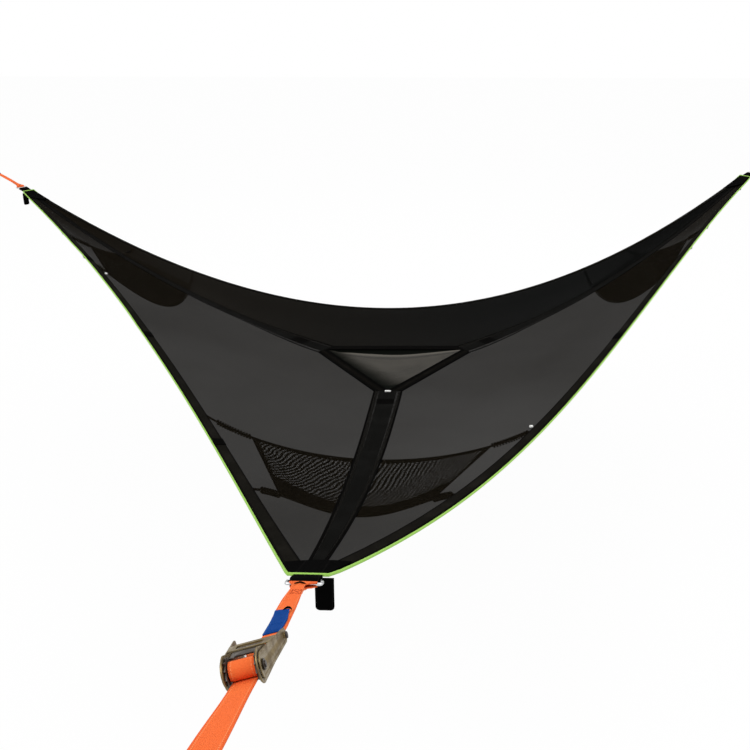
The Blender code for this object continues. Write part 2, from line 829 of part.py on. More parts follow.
def build_rings():
    """The steel ring between the corner loop and the sling."""
    across_x = RING_HALF_WIDTH
    corners = [(across_x - RING_CORNER, RING_FAR - RING_CORNER, 0.0),
               (-across_x + RING_CORNER, RING_FAR - RING_CORNER, 90.0),
               (-across_x + RING_CORNER, RING_NEAR + RING_CORNER, 180.0),
               (across_x - RING_CORNER, RING_NEAR + RING_CORNER, 270.0)]
    outline = []
    for x, y, turn in corners:
        outline += arc((x, y), RING_CORNER, math.radians(turn), math.radians(turn + 90), 3)
    for corner in CORNERS:
        frame = line_frame(corner)
        points = [frame @ Vector((x, y, 0.0)) for x, y in outline]
        tube(f"corner_ring_{corner}", points, RING_ROD, "steel", closed=True)


def tail_drop(corner, side):
    """How far below the corner a tail starts, clear of the strap and the piping."""
    here, away = corner_point(corner), outward(corner)
    other = max((name for name in CORNERS if name != corner),
                key=lambda name: (corner_point(name) - here).dot(side))
    edge, from_start = edge_between(corner, other)
    run = piping_run(edge) if from_start else piping_run(edge)[::-1]
    mitre = PIPING_RADIUS / math.cos(math.radians(30))
    strap = [strap_point(corner, 0.0), strap_point(corner, 1 / STRAP_ROWS)]
    drops = []
    for (near, far), half in ((run[:2], mitre), (strap, WEBBING_THICKNESS / 2)):
        fall = (near.z - far.z) / (near - far).dot(away)
        depth = (near - here).dot(away) + TAIL_SETBACK + TAIL_THICKNESS / 2
        drops.append(here.z - near.z + half * math.hypot(1.0, fall) + fall * depth)
    return max(drops) + GAP


def build_tails():
    """The webbing tail that hangs plumb from each corner."""
    half = TAIL_WIDTH / 2
    rounding = 0.008
    outline = [(-half, 0.0)]
    outline += arc((-half + rounding, -TAIL_LENGTH + rounding), rounding, math.pi, 1.5 * math.pi, 4)
    outline += arc((half - rounding, -TAIL_LENGTH + rounding), rounding, 1.5 * math.pi, 2 * math.pi, 4)
    outline += [(half, 0.0)]
    for corner in CORNERS:
        out = outward(corner)
        side = line_frame(corner).to_3x3() @ Vector((1.0, 0.0, 0.0))
        top = corner_point(corner) + side * TAIL_OFFSET - out * TAIL_SETBACK + DOWN * tail_drop(corner, side * TAIL_OFFSET)
        tail = flat_outline(f"corner_tail_{corner}", [outline], TAIL_THICKNESS, "black_webbing")
        tail.matrix_world = Matrix.Translation(top) @ Matrix((side, UP, side.cross(UP))).transposed().to_4x4()


def eye(centre, wrap, start, end):
    """Points of webbing round a rod, each a reach and a height."""
    return arc(centre, wrap, start * math.pi, end * math.pi, 8)


def build_slings():
    """The sling, sewn round the ring at one end and round the bolt at the other."""
    lap = SLING_THICKNESS + LAYER_GAP
    ring_wrap = RING_ROD + GAP + SLING_THICKNESS / 2
    bolt_wrap = BOLT_RADIUS + GAP + SLING_THICKNESS / 2
    mouth, half = SLING_MOUTH_WIDTH / 2, SLING_WIDTH / 2
    bolt = (SPINDLE_AT - BOLT_Y, ROLL_RADIUS + BOLT_Z)
    path = [(SLING_LAP_END, -lap, half), (SLING_LAP_END - 0.015, -lap, half),
            (RING_FAR + 0.012, -ring_wrap, mouth)]
    path += [(reach, height, mouth) for reach, height in eye((RING_FAR, 0.0), ring_wrap, 1.5, 0.5)]
    path += [(RING_FAR + 0.012, ring_wrap, mouth), (SLING_LAP_END - 0.015, 0.0, half)]
    run_end = bolt[0] - EYE_LAP
    run_steps = 12
    for i in range(run_steps + 1):
        path.append((SLING_LAP_END + (run_end - SLING_LAP_END) * i / run_steps, 0.0, half))
    path.append((bolt[0] - 0.012, bolt[1] - bolt_wrap, half))
    path += [(reach, height, half) for reach, height in eye(bolt, bolt_wrap, 1.5, 2.5)]
    path += [(bolt[0] - 0.012, bolt[1] + bolt_wrap, half), (run_end + 0.012, lap, half), (run_end, lap, half)]
    for corner in CORNERS:
        stations = [line_station(corner, *step) for step in path]
        ribbon(f"sling_{corner}", stations, "orange_webbing", SLING_THICKNESS)


def build_tabs():
    """The tab sewn on each sling, lifted at its end nearer the ring."""
    steps = 8
    seat = SLING_THICKNESS / 2 + GAP + TAB_THICKNESS / 2
    for corner in CORNERS:
        stations = []
        for i in range(steps + 1):
            reach = TAB_FROM + (TAB_TO - TAB_FROM) * i / steps
            lift = TAB_CURL * (1 - smooth_step(i / steps / 0.3))
            stations.append(line_station(corner, reach, seat + lift, TAB_WIDTH / 2, TAB_SHIFT))
        ribbon(f"sling_tab_{corner}", stations, "blue_tab", TAB_THICKNESS)


def build_ratchet_frames():
    """The frame: two side plates on a web, with holes for spindle and bolt."""
    bolt_at = (BOLT_Y, BOLT_Z)
    outline = arm_outline(FRAME_HEAD, FRAME_TOE, bolt_at)
    spindle_hole = circle((0.0, 0.0), SHAFT_RADIUS + HOLE_PLAY, 12)
    bolt_hole = circle(bolt_at, BOLT_RADIUS + HOLE_PLAY, 12)
    outlines = [outline, spindle_hole, bolt_hole]
    right = side_plate("plate_right", outlines, FRAME_INNER, FRAME_OUTER, "khaki_plate")
    left = side_plate("plate_left", outlines, -FRAME_OUTER, -FRAME_INNER, "khaki_plate")
    reach = (FRAME_INNER + FRAME_OUTER) / 2
    web = box("frame_web", (-reach, FRAME_WEB_FROM, FRAME_WEB_Z),
              (reach, FRAME_WEB_TO, FRAME_WEB_Z + SHEET_METAL), "khaki_plate")
    frame = combine(web, [right, left], "UNION")
    place_copies(frame, "ratchet_frame", "khaki_plate", ratchet_frame)


def build_handles():
    """The handle: two arms on the spindle, a web and a grip."""
    toe_at = (HANDLE_REACH, HANDLE_LIFT)
    outline = arm_outline(HANDLE_HEAD, HANDLE_TOE, toe_at)
    hole = circle((0.0, 0.0), SHAFT_RADIUS + HOLE_PLAY, 12)
    right = side_plate("arm_right", [outline, hole], HANDLE_INNER, HANDLE_OUTER, "khaki_plate")
    left = side_plate("arm_left", [outline, hole], -HANDLE_OUTER, -HANDLE_INNER, "khaki_plate")
    reach = (HANDLE_INNER + HANDLE_OUTER) / 2
    web = box("handle_web", (-reach, HANDLE_WEB_FROM, HANDLE_WEB_Z),
              (reach, HANDLE_WEB_TO, HANDLE_WEB_Z + SHEET_METAL), "khaki_plate")
    grip = rod_x("grip", toe_at, GRIP_RADIUS, GRIP_HALF_WIDTH, "khaki_plate")
    for piece in (right, left, web):
        for vertex in piece.data.vertices:
            spread = HANDLE_SPREAD * max(vertex.co.y, 0.0) / HANDLE_REACH
            vertex.co.x += math.copysign(spread, vertex.co.x)
    handle = combine(web, [right, left, grip], "UNION")
    place_copies(handle, "ratchet_handle", "khaki_plate", ratchet_frame)


def wheel_outline():
    """Outline of a ratchet wheel, its teeth leaning one way."""
    outline = []
    for tooth in range(WHEEL_TEETH):
        start = 2 * math.pi * tooth / WHEEL_TEETH
        step = 2 * math.pi / WHEEL_TEETH
        outline.append((WHEEL_ROOT * math.cos(start), WHEEL_ROOT * math.sin(start)))
        tip = start + step * 0.88
        outline.append((WHEEL_TIP * math.cos(tip), WHEEL_TIP * math.sin(tip)))
    return outline


def build_drums():
    """The drum: a slotted mandrel and two ratchet wheels on the spindle."""
    wheel_outer = WHEEL_INNER + WHEEL_THICKNESS
    mandrel = rod_x("mandrel", (0.0, 0.0), MANDREL_RADIUS, WHEEL_INNER + WHEEL_THICKNESS / 2, "dark_steel")
    shaft = rod_x("shaft", (0.0, 0.0), SHAFT_RADIUS, SHAFT_HALF_LENGTH, "dark_steel", 12)
    right = side_plate("wheel_right", [wheel_outline()], WHEEL_INNER, wheel_outer, "dark_steel")
    left = side_plate("wheel_left", [wheel_outline()], -wheel_outer, -WHEEL_INNER, "dark_steel")
    drum = combine(mandrel, [shaft, right, left], "UNION")
    half = WHEEL_INNER - 0.0005
    slot = box("slot", (-half, -0.02, -SLOT_HEIGHT / 2), (half, 0.02, SLOT_HEIGHT / 2), "dark_steel")
    drum = combine(drum, [slot], "DIFFERENCE")
    place_copies(drum, "ratchet_drum", "dark_steel", ratchet_frame)


def pawl_start(height):
    """Where a pawl at a height meets the circle just outside the wheel's teeth."""
    clear = WHEEL_TIP + PAWL_CLEAR
    return math.sqrt(clear * clear - height * height)


def build_pawls():
    """The drive pawl under the handle's web and the lock pawl on the frame's web."""
    top = HANDLE_WEB_Z - GAP
    low = top - PAWL_THICKNESS
    drive = box("drive_pawl", (-PAWL_HALF_WIDTH, pawl_start(low), low),
                (PAWL_HALF_WIDTH, DRIVE_PAWL_END, top), "dark_steel")
    place_copies(drive, "drive_pawl", "dark_steel", ratchet_frame)
    base = FRAME_WEB_Z + SHEET_METAL + GAP
    high = base + PAWL_THICKNESS
    lock = box("lock_pawl", (-PAWL_HALF_WIDTH, pawl_start(high), base),
               (PAWL_HALF_WIDTH, LOCK_PAWL_END, high), "dark_steel")
    place_copies(lock, "lock_pawl", "dark_steel", ratchet_frame)


def build_bolts():
    """The bolt that holds the tree strap in the frame, with its head and nut."""
    at = (BOLT_Y, BOLT_Z)
    shank = rod_x("shank", at, BOLT_RADIUS, FRAME_OUTER + GAP + 0.001, "steel", 12)
    ends = []
    for sign in (-1, 1):
        cap = rod_x("cap", at, BOLT_HEAD_RADIUS, BOLT_HEAD_HEIGHT / 2, "steel", 6)
        cap.location.x = sign * (FRAME_OUTER + GAP + BOLT_HEAD_HEIGHT / 2)
        ends.append(cap)
    bpy.context.view_layer.update()
    bolt = combine(shank, ends, "UNION")
    place_copies(bolt, "ratchet_bolt", "steel", ratchet_frame)


def winding():
    """Turns of the strap round the mandrel, in the ratchet's own Y and Z."""
    turn_steps = 14
    points = []
    for i in range(1, ROLL_TURNS * turn_steps + 1):
        turn = i / turn_steps
        angle = 2 * math.pi * turn - math.pi / 2
        radius = ROLL_RADIUS - ROLL_PITCH * turn
        points.append(Vector((0.0, radius * math.cos(angle), radius * math.sin(angle))))
    return points, turn_steps


def least_gap(points, turn_steps, thickness):
    """Least free space between one turn of a winding and the next, on its points."""
    least = math.inf
    for i, point in enumerate(points):
        for j in range(i + turn_steps // 2, len(points) - 1):
            run = points[j + 1] - points[j]
            share = min(max((point - points[j]).dot(run) / run.length_squared, 0.0), 1.0)
            least = min(least, (point - points[j] - run * share).length - thickness)
    return least


def build_tree_straps():
    """The strap from the turns on the drum to the anchor loop."""
    neck = LINE_REACH - ANCHOR_HALF_LENGTH - 0.025
    low = -(SLING_THICKNESS + LAYER_GAP)
    rise, flat = ANCHOR_HALF_HEIGHT, ANCHOR_FLAT
    end = LINE_REACH + ANCHOR_HALF_LENGTH
    bulge = [(LINE_REACH - 0.034, rise * 0.45), (LINE_REACH - 0.014, rise * 0.93), (LINE_REACH + 0.004, rise),
             (end - 0.010, rise * 0.86), (end - 0.003, rise * 0.66), (end, flat)]
    path = [(neck - ANCHOR_LAP, low), (neck - 0.012, low), (neck, low)]
    path += [(reach, -height) for reach, height in bulge]
    path += bulge[::-1]
    run_steps = 10
    for i in range(run_steps + 1):
        path.append((neck + (SPINDLE_AT - neck) * i / run_steps, 0.0))
    turns, turn_steps = winding()
    print(f"winding least gap {1000 * least_gap(turns, turn_steps, SLING_THICKNESS):.2f} mm")
    for corner in CORNERS:
        stations = [line_station(corner, reach, height, SLING_WIDTH / 2) for reach, height in path]
        frame = ratchet_frame(corner)
        side = stations[-1][1]
        stations += [(frame @ point, side, SLING_WIDTH / 2) for point in turns]
        ribbon(f"tree_strap_{corner}", stations, "orange_webbing", SLING_THICKNESS)


def main():
    """Build the hammock."""
    clear_scene()
    build_panels()
    build_bands()
    build_piping()
    build_straps()
    build_hatch()
    build_pockets()
    build_clips()
    build_corner_loops()
    build_rings()
    build_tails()
    build_slings()
    build_tabs()
    build_ratchet_frames()
    build_handles()
    build_drums()
    build_pawls()
    build_bolts()
    build_tree_straps()


main()
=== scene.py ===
"""Looks of the triangle hammock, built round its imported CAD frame.

Lengths are metres in the frame's own axes: +X runs to the right, +Y from the
front corner across the hammock and +Z up. The origin is the middle of the front
anchor loop. The hung shape comes from the same named values as the CAD source.
"""
import json
import logging
from contextlib import contextmanager
from dataclasses import dataclass, field
from enum import Enum
from math import atan2, ceil, copysign, cos, exp, hypot, pi, radians, sin, sqrt, tan, tau
from typing import Callable, Iterator, Sequence

import bmesh
import bpy
import numpy as np
from mathutils import Matrix, Vector, noise

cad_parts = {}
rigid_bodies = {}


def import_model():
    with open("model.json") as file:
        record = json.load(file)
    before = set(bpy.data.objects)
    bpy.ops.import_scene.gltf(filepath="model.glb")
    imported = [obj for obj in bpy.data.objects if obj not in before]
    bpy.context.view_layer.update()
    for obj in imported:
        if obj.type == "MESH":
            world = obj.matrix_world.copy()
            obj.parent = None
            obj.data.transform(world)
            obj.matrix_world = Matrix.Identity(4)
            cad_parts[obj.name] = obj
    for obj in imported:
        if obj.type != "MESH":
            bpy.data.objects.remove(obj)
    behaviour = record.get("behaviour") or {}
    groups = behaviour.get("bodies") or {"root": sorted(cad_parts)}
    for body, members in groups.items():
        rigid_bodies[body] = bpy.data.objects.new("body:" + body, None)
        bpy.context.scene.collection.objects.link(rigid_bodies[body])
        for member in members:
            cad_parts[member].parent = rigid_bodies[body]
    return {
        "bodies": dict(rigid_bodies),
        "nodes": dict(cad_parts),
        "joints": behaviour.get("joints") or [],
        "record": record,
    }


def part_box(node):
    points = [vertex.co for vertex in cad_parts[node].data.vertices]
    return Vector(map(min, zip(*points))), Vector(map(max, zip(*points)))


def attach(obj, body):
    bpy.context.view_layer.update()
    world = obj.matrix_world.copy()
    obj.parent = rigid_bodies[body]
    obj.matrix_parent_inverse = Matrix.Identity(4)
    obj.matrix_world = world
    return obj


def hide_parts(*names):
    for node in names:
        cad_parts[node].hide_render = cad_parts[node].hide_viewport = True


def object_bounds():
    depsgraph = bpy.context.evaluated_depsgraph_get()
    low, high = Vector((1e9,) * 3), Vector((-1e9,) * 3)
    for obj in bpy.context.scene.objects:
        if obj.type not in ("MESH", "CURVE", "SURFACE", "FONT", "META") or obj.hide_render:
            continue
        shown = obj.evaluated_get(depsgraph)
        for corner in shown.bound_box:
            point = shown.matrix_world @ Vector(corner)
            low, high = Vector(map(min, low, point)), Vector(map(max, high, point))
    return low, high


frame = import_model()
CAD_LOW, CAD_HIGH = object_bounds()

LOG = logging.getLogger("hammock")
UP = Vector((0.0, 0.0, 1.0))
DOWN = -UP
STAND = Matrix(((0, 0, 1, 0), (1, 0, 0, 0), (0, 1, 0, 0), (0, 0, 0, 1)))
RIBBON_MARKS = (-1.0, -0.88, -0.62, -0.3, 0.0, 0.3, 0.62, 0.88, 1.0)
MERGE = 0.000005
Colour = tuple[float, float, float]
Curve = Callable[[float], Vector]
Surface = Callable[[float, float], Matrix]
Seam = tuple[tuple[float, float], tuple[float, float]]
Piece = bpy.types.Object
Socket = bpy.types.NodeSocket
WHITE: Colour = (1.0, 1.0, 1.0)


class Named(Enum):
    """A choice among names, written as its name."""

    def __str__(self) -> str:
        """Return the name."""
        return self.value


class Corner(Named):
    """The hammock's three corners."""

    FRONT = "front"
    LEFT = "left"
    RIGHT = "right"


class Edge(Named):
    """The hammock's three edges."""

    LEFT = "left"
    RIGHT = "right"
    FAR = "far"


def smooth_step(share: float) -> float:
    """Ease from 0 to 1 as the share goes from 0 to 1."""
    share = min(max(share, 0.0), 1.0)
    return share * share * (3.0 - 2.0 * share)


def arch(share: float) -> float:
    """Return a curve that is 0 at both ends of a share and 1 at its middle."""
    return 4 * share * (1 - share)


def across(vector: Vector, direction: Vector) -> Vector:
    """Return the part of a vector that is square to a unit direction."""
    return vector - direction * vector.dot(direction)


def facing(vector: Vector, towards: Vector) -> Vector:
    """Return a vector, turned round if it points away from a direction."""
    return -vector if towards.dot(vector) < 0 else vector


def upward(vector: Vector) -> Vector:
    """Return a vector's unit direction, turned over where it points down."""
    return facing(vector.normalized(), UP)


def run_at(curve: Curve, share: float, step: float = 0.002) -> Vector:
    """Return the way that a curve goes round a share, within its ends."""
    return curve(min(share + step, 1.0)) - curve(max(share - step, 0.0))


def arc(centre: tuple[float, float], radius: float, start: float, end: float,
        steps: int) -> list[tuple[float, float]]:
    """Points of an arc in a plane.

    Args:
        centre: Middle of the arc.
        radius: Its radius.
        start: First angle in radians.
        end: Last angle in radians.
        steps: Number of steps between them.

    Returns:
        The points, both ends among them.
    """
    angles = [start + (end - start) * step / steps for step in range(steps + 1)]
    return [(centre[0] + radius * cos(a), centre[1] + radius * sin(a)) for a in angles]


# Workshop: selecting, editing and shaping meshes

def activate(obj: Piece) -> None:
    """Make one object the only selected one, in object mode.

    Args:
        obj: The object to work on.
    """
    active = bpy.context.view_layer.objects.active
    if active is not None and active.mode != "OBJECT":
        bpy.ops.object.mode_set(mode="OBJECT")
    bpy.ops.object.select_all(action="DESELECT")
    obj.select_set(True)
    bpy.context.view_layer.objects.active = obj


def primitive(name: str, add: Callable[..., object], **settings: object) -> Piece:
    """Add a mesh primitive with everything else deselected.

    Args:
        name: Name of the new object.
        add: The operator that adds it.
        settings: The operator's size and place.

    Returns:
        The new object.
    """
    bpy.ops.object.select_all(action="DESELECT")
    add(**settings)
    obj = bpy.context.view_layer.objects.active
    obj.name = obj.data.name = name
    return obj


@contextmanager
def editing(obj: Piece, kind: str = "VERT") -> Iterator[None]:
    """Edit one object's mesh with nothing selected.

    Args:
        obj: The object to edit.
        kind: VERT, EDGE or FACE select mode.
    """
    activate(obj)
    bpy.ops.object.mode_set(mode="EDIT")
    bpy.ops.mesh.select_mode(type=kind)
    bpy.ops.mesh.select_all(action="DESELECT")
    yield
    bpy.ops.object.mode_set(mode="OBJECT")


def pick(obj: Piece, test: Callable[[Vector], bool], kind: str = "VERT") -> None:
    """Select the vertices or faces whose place passes a test, in edit mode.

    Args:
        obj: The object in edit mode.
        test: Says whether a place is wanted.
        kind: VERT or FACE.
    """
    shape = bmesh.from_edit_mesh(obj.data)
    for part in shape.faces if kind == "FACE" else shape.verts:
        part.select_set(test(part.calc_center_median() if kind == "FACE" else part.co))
    shape.select_flush_mode()
    bmesh.update_edit_mesh(obj.data)


def face_outwards() -> None:
    """Turn all faces of the mesh in edit mode outwards."""
    bpy.ops.mesh.select_all(action="SELECT")
    bpy.ops.mesh.normals_make_consistent(inside=False)


def raise_plate(thickness: float) -> None:
    """Extrude the flat mesh in edit mode to a plate.

    Args:
        thickness: Thickness of the result.
    """
    bpy.ops.mesh.select_all(action="SELECT")
    bpy.ops.mesh.extrude_region_move(TRANSFORM_OT_translate={"value": (0.0, 0.0, thickness)})
    face_outwards()


def apply_modifier(obj: Piece, kind: str, **settings: object) -> None:
    """Add a modifier with its settings and apply it.

    Args:
        obj: The object to work on.
        kind: The modifier's type.
        settings: Its properties.
    """
    activate(obj)
    step = obj.modifiers.new(kind.lower(), kind)
    for name, value in settings.items():
        setattr(step, name, value)
    bpy.ops.object.modifier_apply(modifier=step.name)


def shaded(obj: Piece, angle: float = 40.0) -> Piece:
    """Shade an object smooth wherever its faces meet below an angle in degrees.

    Args:
        obj: The object to work on.
        angle: Greatest angle in degrees.

    Returns:
        The same object.
    """
    activate(obj)
    bpy.ops.object.shade_smooth_by_angle(angle=radians(angle))
    return obj


def rounded(obj: Piece, width: float, segments: int = 2, angle: float = 35.0) -> Piece:
    """Round an object's sharp edges and shade it smooth by angle.

    Args:
        obj: The object to work on.
        width: Width of the rounding.
        segments: Steps of the rounding.
        angle: Greatest angle in degrees.

    Returns:
        The same object.
    """
    apply_modifier(obj, "BEVEL", width=width, segments=segments, limit_method="ANGLE",
                   angle_limit=radians(angle), use_clamp_overlap=True)
    return shaded(obj, angle)


def cut(base: Piece, tools: Sequence[Piece], operation: str = "DIFFERENCE") -> Piece:
    """Cut tools from a base, or join them to it, and remove them.

    Args:
        base: The object that stays.
        tools: The objects that are used up, in order.
        operation: DIFFERENCE or UNION.

    Returns:
        The base.
    """
    for tool in tools:
        apply_modifier(base, "BOOLEAN", operation=operation, solver="EXACT", object=tool)
        bpy.data.objects.remove(tool, do_unlink=True)
    return base


def joined(name: str, parts: Sequence[Piece]) -> Piece:
    """Join objects into one.

    Args:
        name: Name of the whole.
        parts: The objects, the first of which stays.

    Returns:
        The whole.
    """
    activate(parts[0])
    for part in parts:
        part.select_set(True)
    if len(parts) > 1:
        bpy.ops.object.join()
    parts[0].name = parts[0].data.name = name
    return parts[0]


def copied(source: Piece, name: str, matrix: Matrix) -> Piece:
    """Copy an object with its own mesh, put in place through its vertices.

    Args:
        source: The object to copy.
        name: Name of the copy.
        matrix: Where it goes.

    Returns:
        The copy.
    """
    mesh = source.data.copy()
    mesh.transform(matrix)
    mesh.name = name
    twin = bpy.data.objects.new(name, mesh)
    bpy.context.scene.collection.objects.link(twin)
    return twin


def lofted(name: str, rows: Sequence[Sequence[Vector]], around: bool = False) -> Piece:
    """Lay a grid primitive over rows of points, with UVs in metres.

    Args:
        name: Name of the piece.
        rows: Rows of points along the piece, each with the same count.
        around: True where each row closes on itself, as a cord's rings do.

    Returns:
        The new object. Its UV map holds the length along and the way across,
        counted from the middle, and a second map holds both as shares.
    """
    lines = [list(row) + ([row[0]] if around else []) for row in rows]
    along, over = len(lines) - 1, len(lines[0]) - 1
    obj = primitive(name, bpy.ops.mesh.primitive_grid_add, x_subdivisions=over, y_subdivisions=along, size=1.0)
    mesh = obj.data
    places = np.array([[tuple(point) for point in line] for line in lines])
    mesh.vertices.foreach_set("co", places.astype(np.float32).ravel())
    steps_over = np.linalg.norm(np.diff(places, axis=1), axis=2)
    way_over = np.concatenate([np.zeros((along + 1, 1)), np.cumsum(steps_over, axis=1)], axis=1)
    way_over = way_over - way_over[:, -1:] / 2
    steps_along = np.linalg.norm(np.diff(places, axis=0), axis=2).mean(axis=1)
    way_along = np.concatenate([[0.0], np.cumsum(steps_along)])
    share_over = np.linspace(0.0, 1.0, over + 1)
    share_along = way_along / max(way_along[-1], 1e-9)
    corners = np.zeros(len(mesh.loops), np.int32)
    mesh.loops.foreach_get("vertex_index", corners)
    row, column = np.divmod(corners, over + 1)
    mesh.uv_layers[0].name = "metres"
    mesh.uv_layers.new(name="share")
    for layer, first, second in (("metres", way_along[row], way_over[row, column]),
                                 ("share", share_along[row], share_over[column])):
        pairs = np.stack([first, second], axis=1).astype(np.float32)
        mesh.uv_layers[layer].data.foreach_set("uv", pairs.ravel())
    mesh.update()
    return obj


def thickened(obj: Piece, thickness: float, angle: float = 50.0) -> Piece:
    """Give a lofted sheet its thickness, half to each side, and shade it.

    Args:
        obj: The object to work on.
        thickness: Thickness of the result.
        angle: Greatest angle in degrees.

    Returns:
        The same object.
    """
    with editing(obj):
        bpy.ops.mesh.select_all(action="SELECT")
        bpy.ops.mesh.remove_doubles(threshold=MERGE)
    apply_modifier(obj, "SOLIDIFY", thickness=thickness, offset=0.0, use_even_offset=True)
    return shaded(obj, angle)


def cord_rows(points: Sequence[Vector], radius: Callable[[float], float], sides: int,
              closed_run: bool) -> list[list[Vector]]:
    """Rings of a round cord along a run of points, turned as little as can be.

    Args:
        points: The cord's centre line.
        radius: Radius at a share of the way along.
        sides: Points of each ring.
        closed_run: True where the run closes on itself.

    Returns:
        One ring of points per point of the run.
    """
    count = len(points)
    rings = []
    side = None
    for i, point in enumerate(points):
        if closed_run:
            along = (points[(i + 1) % count] - points[i - 1]).normalized()
        else:
            along = (points[min(i + 1, count - 1)] - points[max(i - 1, 0)]).normalized()
        if side is None:
            side = across(UP if abs(along.z) < 0.9 else Vector((1.0, 0.0, 0.0)), along).normalized()
        side = across(side, along).normalized()
        other = along.cross(side)
        size = radius(i / max(count - 1, 1))
        rings.append([point + (side * cos(angle) + other * sin(angle)) * size
                      for angle in (tau * k / sides for k in range(sides))])
    if closed_run:
        rings.append([vertex.copy() for vertex in rings[0]])
    return rings


def cord_piece(name: str, points: Sequence[Vector], radius: float | Callable[[float], float],
               sides: int = 12, closed_run: bool = False) -> Piece:
    """Build a round cord or rod through points, closed at both ends.

    Args:
        name: Name of the piece.
        points: The cord's centre line.
        radius: Radius, or the radius at a share of the way along.
        sides: Points of each ring.
        closed_run: True where the run closes on itself.

    Returns:
        The cord, its doubles merged and its faces turned outwards.
    """
    size = radius if callable(radius) else (lambda share: radius)
    obj = lofted(name, cord_rows(points, size, sides, closed_run), around=True)
    with editing(obj):
        bpy.ops.mesh.select_all(action="SELECT")
        bpy.ops.mesh.remove_doubles(threshold=MERGE)
        bpy.ops.mesh.select_all(action="SELECT")
        bpy.ops.mesh.fill_holes(sides=0)
        face_outwards()
    return shaded(obj, 50.0)


def resampled(points: Sequence[Vector], step: float) -> list[Vector]:
    """Return points every so often along a smooth curve through a run of points.

    Args:
        points: The run.
        step: Distance between the new points.

    Returns:
        The new points, both ends among them.
    """
    run = []
    for i in range(len(points) - 1):
        before, start = points[max(i - 1, 0)], points[i]
        end, after = points[i + 1], points[min(i + 2, len(points) - 1)]
        count = max(1, round((end - start).length / step))
        for t in (k / count for k in range(count)):
            bend = ((end - before) * t + (before * 2 - start * 5 + end * 4 - after) * (t * t)
                    + (start * 3 - before - end * 3 + after) * (t * t * t))
            run.append(start + bend * 0.5)
    return run + [points[-1].copy()]


def rod(name: str, start: Sequence[float], end: Sequence[float], radius: float, sides: int = 32,
        rounding: float = 0.0) -> Piece:
    """Build a round bar.

    Args:
        name: Name of the bar.
        start: Middle of its first end.
        end: Middle of its other end.
        radius: Its radius.
        sides: Number of its sides.
        rounding: Rounding of its ends, or 0.

    Returns:
        The bar.
    """
    start, end = Vector(start), Vector(end)
    way = end - start
    turn = way.to_track_quat("Z", "Y").to_matrix().to_4x4()
    obj = primitive(name, bpy.ops.mesh.primitive_cylinder_add, vertices=sides, radius=radius, depth=way.length)
    if rounding:
        rounded(obj, rounding, 3)
    else:
        shaded(obj)
    obj.data.transform(Matrix.Translation((start + end) / 2) @ turn)
    return obj


def block(name: str, low: Sequence[float], high: Sequence[float], rounding: float = 0.0004) -> Piece:
    """Build a box between two corners.

    Args:
        name: Name of the box.
        low: Its lowest corner.
        high: Its highest corner.
        rounding: Rounding of its edges, or 0.

    Returns:
        The box.
    """
    low, high = Vector(low), Vector(high)
    obj = primitive(name, bpy.ops.mesh.primitive_cube_add, size=1.0, location=(low + high) / 2)
    with editing(obj):
        bpy.ops.mesh.select_all(action="SELECT")
        bpy.ops.transform.resize(value=high - low)
    bpy.ops.object.transform_apply(location=True, rotation=True, scale=True)
    return rounded(obj, rounding) if rounding else obj


# Finishes

